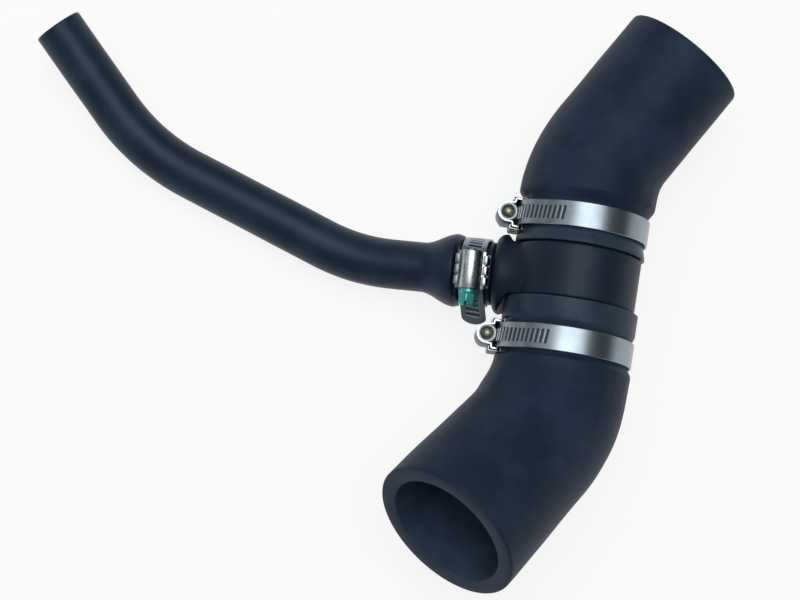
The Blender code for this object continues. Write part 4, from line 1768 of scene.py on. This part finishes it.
                # Groove depth, kept for the painted shade in the grooves.
                vertex[pressed] = depth
                places[vertex] = (run, x)
                ring.append(vertex)
            rings.append(ring)
        join_rings(shape, rings, closed=False)
        for face in shape.faces:
            for loop in face.loops:
                loop[strip].uv = places[loop.vert]
        made = self.ground.piece(self.name("strip"), shape, [self.finishes.strip], 32.0)
        dress(made, Body.ASSEMBLY, Slot.BAND, self.name("band"))

    def cap_outline(self, offset: float) -> list[tuple[float, float]]:
        """Half of the cap's centre line pushed outwards by an offset: foot, wall, flange, dome.

        Args:
            offset: distance outwards from the sheet's middle.

        Returns:
            (x, z) points from the foot up to the top of the dome.
        """
        s = self.sizes
        foot = self.saddle_radius + s.saddle_thickness + LAYER_GAP
        flange = self.band_top + LAYER_GAP + s.sheet / 2.0
        wall = s.wall + s.sheet / 2.0
        dome = s.crest + SEAT_GAP + s.sheet / 2.0
        bend = s.cap_bend
        points = [(wall + offset, foot)]
        points += rounded((wall - bend, flange - bend), 0.0, 90.0, bend + offset, 5)
        base = (dome + s.cap_fillet, flange + s.cap_fillet)
        points += rounded(base, 270.0, -80.0, s.cap_fillet - offset, 6)
        return points + rounded((0.0, self.screw_height), 6.0, 84.0, dome + offset, 12)

    def make_housing(self) -> None:
        """Pressed cap of even sheet: walls, flanges and dome, curled in round the worm's tip."""
        s = self.sizes
        outer = self.cap_outline(s.sheet / 2.0)
        inner = self.cap_outline(-s.sheet / 2.0)
        ring = outer + [(-x, z) for x, z in reversed(outer[:-1])]
        ring += [(-x, z) for x, z in inner] + list(reversed(inner[:-1]))
        half = s.housing_length / 2.0
        shape = bmesh.new()
        rings = [[shape.verts.new(self.frame @ Vector((x, y, z))) for x, z in ring] for y in (-half, half)]
        join_rings(shape, rings, closed=False)
        plate = [self.finishes.plate]
        cap = self.ground.piece(self.name("cap"), shape, plate, 30.0)
        hole = s.journal + SEAT_GAP
        rim = s.crest + SEAT_GAP + s.sheet * s.rim_share
        crest = rim - s.rim_round
        loop = rounded((-half + s.rim_round, crest), 90.0, 90.0, s.rim_round, 8)
        heights = (crest - s.lip_drop, hole + s.lip_flare, hole)
        loop += [(-half + depth, height) for depth, height in zip(s.lip, heights)]
        back = -half + s.web + s.web_back
        loop += [(back, hole), (back, rim)]
        sleeve = turned(loop, s.bearing_sides, self.screw_frame(), closed=True)
        bearing = self.ground.piece("bearing", sleeve, plate)
        below = bmesh.new()
        floor = self.band_top - s.bearing_dip - s.bearing_cutter[2] / 2.0
        place = Matrix.Translation((0.0, -half, floor)) @ Matrix.Diagonal((*s.bearing_cutter, 1.0))
        bmesh.ops.create_cube(below, size=1.0, matrix=self.frame @ place)
        cut_or_join(bearing, self.ground.piece("below", below, plate), "DIFFERENCE")
        cut_or_join(cap, bearing, "UNION")
        shade(round_edges(cap, s.cap_round * MM).data, SHARP_EDGE)
        self.mark_dull_and_painted_shade(cap)
        dress(cap, Body.ASSEMBLY, Slot.PLATE, self.name("housing"))

    def mark_dull_and_painted_shade(self, made: bpy.types.Object) -> None:
        """Note where a plated piece gets painted shade and a rougher finish: down its sides, and inside the
        rim at the screw's tip.

        Args:
            made: the piece, which gets a number for each corner.
        """
        s = self.sizes
        dull_and_painted_shade = made.data.attributes.new("dull_and_painted_shade", "FLOAT", "CORNER")
        turn = self.frame.to_3x3().inverted()
        inverse = self.frame.inverted()
        for face in made.data.polygons:
            lean = turn @ face.normal
            for corner in face.loop_indices:
                vertex = made.data.vertices[made.data.loops[corner].vertex_index]
                spot = inverse @ ((vertex.co - self.ground.centre) / MM)
                reach = math.hypot(spot.x, spot.z - self.screw_height)
                at_tip = spot.y < -s.housing_length / 2.0 + s.web and reach < s.web_edge
                # Painted shade: the web at the tip and sides tilted away from up get a darker colour.
                if abs(lean.y) > 0.5 or at_tip:
                    level = s.web_dull_and_shade * (reach < s.web_edge)
                else:
                    tilt = math.degrees(math.acos(min(max(lean.z, -1.0), 1.0)))
                    flat = spot.x > s.crest + s.crown_reach
                    top = self.place.flange_dull_and_shade if flat else self.place.crown_dull_and_shade
                    side = max(top, s.side_dull_and_shade) - top
                    level = top + side * ease((tilt - s.dull_and_shade_from) / s.dull_and_shade_over)
                dull_and_painted_shade.data[corner].value = level

    def make_tab(self) -> bpy.types.Object:
        """One tab at the origin: it stands up beside the wall and folds over the flange at +X.

        Returns:
            The tab, in millimetres.
        """
        s = self.sizes
        over = self.band_top + LAYER_GAP + s.sheet + LAYER_GAP
        root = self.saddle_radius + s.saddle_thickness * s.tab_root
        face = s.saddle_half - s.tab_thickness
        corner = (face - s.tab_bend, over - s.tab_bend)
        outer = rounded(corner, 0.0, 90.0, s.tab_bend + s.tab_thickness, 6)
        inner = rounded(corner, 90.0, -90.0, s.tab_bend, 5)
        fold = face - s.tab_fold
        outline = [(s.saddle_half, root)] + outer + [(fold, over + s.tab_thickness), (fold, over)] + inner
        outline += [(face, root)]
        shape = bmesh.new()
        half = s.tab_width / 2.0
        rings = [[shape.verts.new((x, y, z)) for x, z in outline] for y in (-half, half)]
        join_rings(shape, rings, closed=False)
        bmesh.ops.recalc_face_normals(shape, faces=shape.faces)
        mesh = bpy.data.meshes.new("tab")
        shape.to_mesh(mesh)
        shape.free()
        tab = bpy.data.objects.new("tab", mesh)
        bpy.context.scene.collection.objects.link(tab)
        return round_edges(tab, s.tab_round)

    def make_saddle(self) -> None:
        """Curved plate on the hose with a row of folded tabs along each side."""
        s = self.sizes
        reach = s.saddle_length / 2.0 / self.saddle_radius
        shape = bmesh.new()
        rings = []
        for step in range(SADDLE_STEPS + 1):
            angle = -reach + 2.0 * reach * step / SADDLE_STEPS
            low = self.polar(angle, self.saddle_radius)
            high = self.polar(angle, self.saddle_radius + s.saddle_thickness)
            side = Vector((s.saddle_half, 0.0, 0.0))
            spots = (low - side, low + side, high + side, high - side)
            rings.append([shape.verts.new(self.frame @ spot) for spot in spots])
        join_rings(shape, rings, closed=False)
        saddle = self.ground.piece(self.name("base"), shape, [self.finishes.plate], 30.0)
        tab = self.make_tab()
        spacing = Vector((0.0, s.tab_spacing, 0.0))
        row = self.row.make(tab, 3, -spacing, spacing, self.finishes.plate)
        remove(tab)
        shape = bmesh.new()
        for turn in (0.0, math.pi):
            done = len(shape.verts)
            shape.from_mesh(row)
            place = self.frame @ Matrix.Rotation(turn, 4, "Z")
            bmesh.ops.transform(shape, matrix=place, verts=list(shape.verts)[done:])
        tabs = self.ground.piece("tabs", shape, [self.finishes.plate], SHARP_EDGE)
        cut_or_join(saddle, tabs, "UNION")
        shade(saddle.data, SHARP_EDGE)
        self.mark_dull_and_painted_shade(saddle)
        dress(saddle, Body.ASSEMBLY, Slot.PLATE, self.name("saddle"))

    def screw_frame(self) -> Matrix:
        """Frame with X along the screw from its tip, at the screw's middle.

        Returns:
            The frame, in millimetres.
        """
        middle = Vector((0.0, 0.0, self.screw_height))
        return self.frame @ axis_frame(middle, Vector((0.0, 1.0, 0.0)), UP)

    def make_head(self) -> bpy.types.Object:
        """Slotted hexagon head with domed corners.

        Returns:
            The head, placed on the screw.
        """
        s = self.sizes
        frame = self.screw_frame()
        base = s.housing_length / 2.0 + s.end_play + s.collar_length
        top = base + s.head_length
        flat = s.across_flats / 2.0
        corner = flat / math.cos(math.pi / 6.0) - s.head_corner
        dome = [(base - s.head_sink, s.head_dome[0][1])] + [(top - down, cap) for down, cap in s.head_dome]
        shape = bmesh.new()
        rings = []
        for distance, cap in dome:
            ring = []
            for side in range(s.head_sides):
                angle = math.tau * side / s.head_sides
                off = (angle + math.pi / 6.0) % (math.pi / 3.0) - math.pi / 6.0
                radius = min(flat / math.cos(off), corner, cap)
                spot = Vector((distance, radius * math.cos(angle), radius * math.sin(angle)))
                ring.append(shape.verts.new(frame @ spot))
            rings.append(ring)
        join_rings(shape, rings, closed=False)
        head = self.ground.piece("head", shape, [self.finishes.screw, self.finishes.tip], 30.0)
        cutter = bmesh.new()
        size = Vector((s.slot_depth * 2.0, s.slot_width, s.across_flats * 2.0))
        place = frame @ Matrix.Translation((top, 0.0, 0.0)) @ Matrix.Diagonal((*size, 1.0))
        bmesh.ops.create_cube(cutter, size=1.0, matrix=place)
        cut_or_join(head, self.ground.piece("slot", cutter, [self.finishes.screw]), "DIFFERENCE")
        round_edges(head, s.head_round * MM)
        shade(head.data, SHARP_EDGE)
        return head

    def make_screw(self) -> None:
        """Core, thread, journal, collar and head of the worm, joined into one piece."""
        s = self.sizes
        tip = -s.housing_length / 2.0
        start = tip + s.web + s.end_play
        end = -tip - s.thread_inset
        head = -tip + s.end_play
        frame = self.screw_frame()
        point = tip - s.journal_reach
        face = tip - s.journal_reach * s.nub_share
        nose = [(point, s.nub * s.nub_ends[0]), (point + s.nub_round, s.nub * s.nub_ends[1])]
        nose += [(face - s.nub_foot, s.nub), (face, s.nub + s.nub_foot)]
        nose += [(face, s.journal - s.journal_round), (face + s.journal_round, s.journal)]
        nose += [(start, s.journal)]
        neck = [(start, s.root * s.root_taper), (start + s.taper_length, s.root)]
        neck += [(end, s.root), (head, s.root)]
        near_edge, far_edge = s.collar_edges
        collar = rounded((head + near_edge, s.collar_radius - near_edge), 180.0, -90.0, near_edge, 3)
        far = head + s.collar_length
        collar += rounded((far - far_edge, s.collar_radius - far_edge), 90.0, -60.0, far_edge, 4)
        collar += [(far, s.root)]
        core = turned(nose + neck + collar, s.worm_sides, frame)
        coats = [self.finishes.screw, self.finishes.tip, self.finishes.tip_shade]
        body = self.ground.piece(self.name("worm"), core, coats, 35.0)
        if self.place.pale_tip:
            self.paint_tip(body, tip)
        margin = s.thread_inset + s.pitch * s.thread_foot / 2.0
        first = start + margin
        turns = (end - first - margin) / s.pitch
        thread = self.thread.make(turns, s, self.finishes.screw)
        shape = bmesh.new()
        shape.from_mesh(thread)
        phase = self.thread_phase(first)
        spin = Matrix.Rotation(phase, 4, "X") @ Matrix.Rotation(math.pi / 2.0, 4, "Y")
        place = frame @ Matrix.Translation((first, 0.0, 0.0)) @ spin
        bmesh.ops.transform(shape, matrix=place, verts=shape.verts)
        ridge = self.ground.piece("ridge", shape, [self.finishes.screw], 35.0)
        for other in (ridge, self.make_head()):
            self.absorb(body, other)
        dress(body, self.place.body, Slot.SCREW, self.name("screw"))

    def thread_phase(self, distance: float) -> float:
        """Turn that brings the thread's crest over the strip's middle groove.

        Args:
            distance: the thread's start along the screw.

        Returns:
            The turn in radians.
        """
        return math.tau * distance / self.sizes.pitch

    def paint_tip(self, body: bpy.types.Object, tip: float) -> None:
        """Give the journal's end an olive face of painted shade and a pale worn nub.

        Args:
            body: the screw's core.
            tip: the housing's end along the screw.
        """
        s = self.sizes
        inverse = self.screw_frame().inverted()
        for face in body.data.polygons:
            spot = inverse @ ((face.center - self.ground.centre) / MM)
            if spot.x < tip + s.web + s.end_play + s.face_reach:
                raised = spot.x < tip - s.journal_reach * s.nub_share - s.nub_gap
                # The nub stays pale; the rest of the face near the tip gets the painted shade.
                face.material_index = 1 if raised else 2

    def absorb(self, body: bpy.types.Object, other: bpy.types.Object) -> None:
        """Join another object's faces into a body, and delete the other.

        Args:
            body: the object that stays.
            other: the object that goes.
        """
        shape = bmesh.new()
        shape.from_mesh(body.data)
        shape.from_mesh(other.data)
        shape.to_mesh(body.data)
        shape.free()
        remove(other)

    def build(self) -> None:
        """Make the clamp's four pieces."""
        self.make_band()
        self.make_housing()
        self.make_saddle()
        self.make_screw()


@dataclass
class Studio:
    """Pale floor, soft lights, a plain sky and the camera."""

    elevation: float = 82.0
    distance: float = 0.794
    half_view: float = 10.0
    tee_pixel: tuple[float, float] = (575.0, 282.0)
    image: tuple[float, float] = (800.0, 600.0)
    floor_half: float = 1.5
    floor_tone: float = 0.97
    floor_glow: float = 0.85
    lobe_way: tuple[float, float] = (50.0, 82.0)
    lobe_edge: tuple[float, float] = (0.87, 0.97)
    sky_top: float = 3.2
    sky_side: float = 0.17
    side_slope: float = 0.11
    sky_low: float = 0.70
    key_power: float = 2.6
    key_size: tuple[float, float] = (1.6, 1.2)
    key_place: tuple = (-0.35, 0.45, 1.1)
    key_aim: tuple = (0.03, 0.0, 0.0)
    horizon_edge: tuple = (0.05, 0.20)
    floor_drop: float = 0.0002
    sensor: float = 36.0
    clip: tuple = (0.01, 20.0)

    def build(self, centre: Vector) -> None:
        """Set up everything that isn't the object.

        Args:
            centre: the tee's centre in metres.
        """
        self.camera(centre)
        self.floor()
        self.sky()
        self.lamps()

    def camera(self, centre: Vector) -> None:
        """Aim so that the tee's centre falls on its place in the picture.

        Args:
            centre: the tee's centre in metres.
        """
        rise = math.radians(self.elevation)
        right = Vector((1.0, 0.0, 0.0))
        up = Vector((0.0, math.sin(rise), math.cos(rise)))
        forward = Vector((0.0, math.cos(rise), -math.sin(rise)))
        half = math.tan(math.radians(self.half_view))
        focal = self.image[0] / 2.0 / half
        across = (self.tee_pixel[0] - self.image[0] / 2.0) / focal * self.distance
        above = (self.image[1] / 2.0 - self.tee_pixel[1]) / focal * self.distance
        data = bpy.data.cameras.new("camera")
        data.sensor_width = self.sensor
        data.lens = self.sensor / 2.0 / half
        data.clip_start, data.clip_end = self.clip
        camera = bpy.data.objects.new("camera", data)
        bpy.context.scene.collection.objects.link(camera)
        camera.matrix_world = Matrix((right, up, -forward)).transposed().to_4x4()
        place = centre - right * across - up * above - forward * self.distance
        camera.matrix_world.translation = place
        bpy.context.scene.camera = camera

    def floor(self) -> None:
        """A wide white floor that shows itself white and keeps the shadow."""
        graph = Graph("white_floor")
        tree = graph.tree
        tree.nodes.remove(graph.shader)
        diffuse = graph.add("ShaderNodeBsdfDiffuse", {}, {"Color": (self.floor_tone,) * 3})
        glow = graph.add("ShaderNodeEmission", {}, {"Color": (1.0, 1.0, 1.0), "Strength": 1.0})
        both = graph.add("ShaderNodeMixShader", {}, {0: self.floor_glow, 1: diffuse, 2: glow})
        rays = tree.nodes.new("ShaderNodeLightPath")
        seen = Signal(graph, rays.outputs["Is Camera Ray"]) + Signal(graph, rays.outputs["Is Glossy Ray"])
        seen = (seen + Signal(graph, rays.outputs["Is Transmission Ray"])).clamped()
        shown = graph.add("ShaderNodeMixShader", {}, {0: seen, 1: diffuse, 2: both})
        tree.links.new(shown.socket, graph.output.inputs["Surface"])
        size = self.floor_half
        mesh = bpy.data.meshes.new("floor")
        corners = [(-size, -size, 0.0), (size, -size, 0.0), (size, size, 0.0), (-size, size, 0.0)]
        mesh.from_pydata(corners, [], [(0, 1, 2, 3)])
        mesh.materials.append(graph.material)
        floor = bpy.data.objects.new("floor", mesh)
        floor.location.z = -self.floor_drop
        bpy.context.scene.collection.objects.link(floor)
        floor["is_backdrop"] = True

    def sky(self) -> None:
        """A soft round light overhead, dim sides and a white horizon."""
        graph = SkyGraph("studio")
        bpy.context.scene.world = graph.world
        lobe = graph.toward(direction(*self.lobe_way)).between(*self.lobe_edge)
        horizon = 1.0 - graph.toward(UP).between(*self.horizon_edge)
        side = graph.toward(Vector((1.0, 0.0, 0.0))) * -self.side_slope + self.sky_side
        level = side + lobe * self.sky_top + horizon * self.sky_low
        graph.feed(graph.shader, "Strength", level)
        graph.shader.inputs["Color"].default_value = (1.0, 1.0, 1.0, 1.0)

    def lamps(self) -> None:
        """A large soft box over the object, up and to the left."""
        data = bpy.data.lights.new("soft_box", "AREA")
        data.shape = "RECTANGLE"
        data.size, data.size_y = self.key_size
        data.energy = self.key_power
        lamp = bpy.data.objects.new("soft_box", data)
        place = Vector(self.key_place)
        lamp.location = place
        lamp.rotation_mode = "QUATERNION"
        lamp.rotation_quaternion = (Vector(self.key_aim) - place).to_track_quat("-Z", "Y")
        bpy.context.scene.collection.objects.link(lamp)


@dataclass
class HoseAssembly:
    """The whole object: tee, hoses and clamps in their places."""

    frame: dict
    tee: TeeSizes = field(default_factory=TeeSizes)
    clamp: ClampSizes = field(default_factory=ClampSizes)
    upper_clamp_at: float = 19.9
    upper_squeezed: float = 21.9
    lower_clamp_at: float = 23.5
    lower_squeezed: float = 22.7
    branch_clamp_at: float = 34.8
    branch_squeezed: float = 11.1
    housing_rise: float = 2.0
    upper_corner: float = 41.0
    upper_leg: tuple = (50.5, 0.0, 52.0)
    upper_bend: float = 45.0
    lower_corner: float = 47.5
    lower_leg: tuple = (227.0, 27.2, 63.5)
    lower_bend: float = 47.0
    branch_corner: float = 78.8
    branch_legs: tuple = ((151.9, -1.75, 86.0), (125.5, 12.0, 54.5))
    branch_bends: tuple = (67.0, 70.0)

    def joint(self, name: str) -> dict:
        """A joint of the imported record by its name.

        Args:
            name: the joint's name.

        Returns:
            The joint.
        """
        return next(joint for joint in self.frame["joints"] if joint["name"] == name)

    def centre(self) -> Vector:
        """Crossing of the tee's axes, stepped back from the upper clamp's screw.

        Returns:
            The crossing in metres.
        """
        s = self.clamp
        layers = s.saddle_thickness + 2.0 * (s.band_thickness + LAYER_GAP)
        height = self.upper_squeezed + SEAT_GAP + layers - s.bite + s.crest
        outward = direction(self.tee.heading + 90.0, self.housing_rise)
        screw = Vector(self.joint("upper_worm_turn")["pos_m"])
        return screw - (outward * height + self.tee.up * self.upper_clamp_at) * MM

    def screw_way(self, name: str, axis: Vector) -> Vector:
        """Direction from a hose's axis to its clamp's screw.

        Args:
            name: the screw's joint.
            axis: the hose's axis.

        Returns:
            The unit vector.
        """
        screw = Vector(self.joint(name)["pos_m"]) - self.centre()
        return (screw - axis * screw.dot(axis)).normalized()

    def leg(self, run: tuple[float, float, float]) -> Vector:
        """A hose's straight leg.

        Args:
            run: its heading, pitch and length.

        Returns:
            The step from its start to its end.
        """
        return direction(run[0], run[1]) * run[2]

    def upper_hose(self) -> Hose:
        """The hose on the upper spigot.

        Returns:
            The hose with its route.
        """
        tee = self.tee
        start = tee.upper_shoulder + SEAT_GAP
        corner = tee.up * self.upper_corner
        sizes = HoseSizes(
            "upper_hose_wall", "upper_hose", start=start, clamp_at=self.upper_clamp_at,
            spigot_end=tee.spigot_end, bore=tee.spigot_radius, bead_height=tee.bead_height, collar=22.8,
            squeezed=self.upper_squeezed, bulge=24.0, settled=22.8, end=22.8, wall=5.0, settle=24.0,
            saddle_half=self.clamp.saddle_half, swell_reach=5.0, swell_share=1.0, folds=0.30,
            start_round=0.35, collar_sheen=0.9,
        )
        route = Route([tee.up * start, corner, corner + self.leg(self.upper_leg)], [self.upper_bend])
        return Hose(sizes, route, self.screw_way("upper_worm_turn", tee.up))

    def lower_hose(self) -> Hose:
        """The elbow on the lower spigot.

        Returns:
            The hose with its route.
        """
        tee = self.tee
        start = tee.lower_shoulder + SEAT_GAP
        corner = -tee.up * self.lower_corner
        sizes = HoseSizes(
            "lower_hose_wall", "lower_hose", start=start, clamp_at=self.lower_clamp_at,
            spigot_end=tee.spigot_end, bore=tee.spigot_radius, bead_height=tee.bead_height, collar=23.5,
            squeezed=self.lower_squeezed, bulge=24.0, settled=25.4, end=27.0, wall=5.7, settle=22.0,
            saddle_half=self.clamp.saddle_half, swell_reach=2.5, swell_share=1.0, folds=0.25,
            start_round=0.3, collar_sheen=0.8,
        )
        route = Route([-tee.up * start, corner, corner + self.leg(self.lower_leg)], [self.lower_bend])
        return Hose(sizes, route, self.screw_way("lower_worm_turn", tee.up))

    def branch_hose(self) -> Hose:
        """The small hose on the side outlet.

        Returns:
            The hose with its route.
        """
        tee = self.tee
        start = tee.branch_shoulder + SEAT_GAP
        first = tee.out * self.branch_corner
        second = first + self.leg(self.branch_legs[0])
        sizes = HoseSizes(
            "branch_hose_wall", "branch_hose", start=start, clamp_at=self.branch_clamp_at,
            spigot_end=tee.branch_spigot_end, bore=tee.branch_spigot_radius,
            bead_height=tee.branch_bead_height, collar=self.branch_squeezed,
            squeezed=self.branch_squeezed, bulge=12.9, settled=8.8, end=8.8, wall=3.4, settle=12.0,
            sides=72, ring_step=1.0, saddle_half=self.clamp.saddle_half, folds=0.12, waver=0.08,
        )
        corners = [tee.out * start, first, second, second + self.leg(self.branch_legs[1])]
        return Hose(sizes, Route(corners, self.branch_bends), self.screw_way("branch_worm_turn", tee.out))

    def clamps(self) -> list[ClampPlace]:
        """The three clamps' places.

        Returns:
            The places.
        """
        tee = self.tee
        return [
            ClampPlace("upper_clamp", Body.UPPER_WORM, "upper_worm_turn", self.upper_squeezed, tee.up, 16),
            ClampPlace("lower_clamp", Body.LOWER_WORM, "lower_worm_turn", self.lower_squeezed, tee.up, 17),
            ClampPlace(
                "branch_clamp", Body.BRANCH_WORM, "branch_worm_turn", self.branch_squeezed, tee.out, 13,
                tail_lift=6.0, tail_drift=-0.16, pale_tip=False, crown_dull_and_shade=0.0, flange_dull_and_shade=0.6,
            ),
        ]

    def build(self, finishes: Finishes) -> Vector:
        """Make every piece.

        Args:
            finishes: the materials.

        Returns:
            The tee's centre in metres.
        """
        centre = self.centre()
        ground = Ground(centre)
        Tee(self.tee).build(ground, finishes)
        for hose in (self.upper_hose(), self.lower_hose(), self.branch_hose()):
            hose.build(ground, finishes)
        thread = ThreadTree()
        row = RowTree()
        for place in self.clamps():
            WormClamp(place, self.clamp, self.joint(place.joint), ground, finishes, thread, row).build()
        return centre


def main() -> None:
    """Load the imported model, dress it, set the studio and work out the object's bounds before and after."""
    logging.basicConfig(level=logging.INFO, format="%(name)s: %(message)s")
    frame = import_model()
    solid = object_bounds()
    bpy.context.scene.view_settings.view_transform = "Standard"
    centre = HoseAssembly(frame).build(Finishes())
    Studio().build(centre)
    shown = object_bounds()
    for corner in (*solid, *shown):
        json.dumps([round(value, 6) for value in corner]) + "\n"


if __name__ == "__main__":
    main()
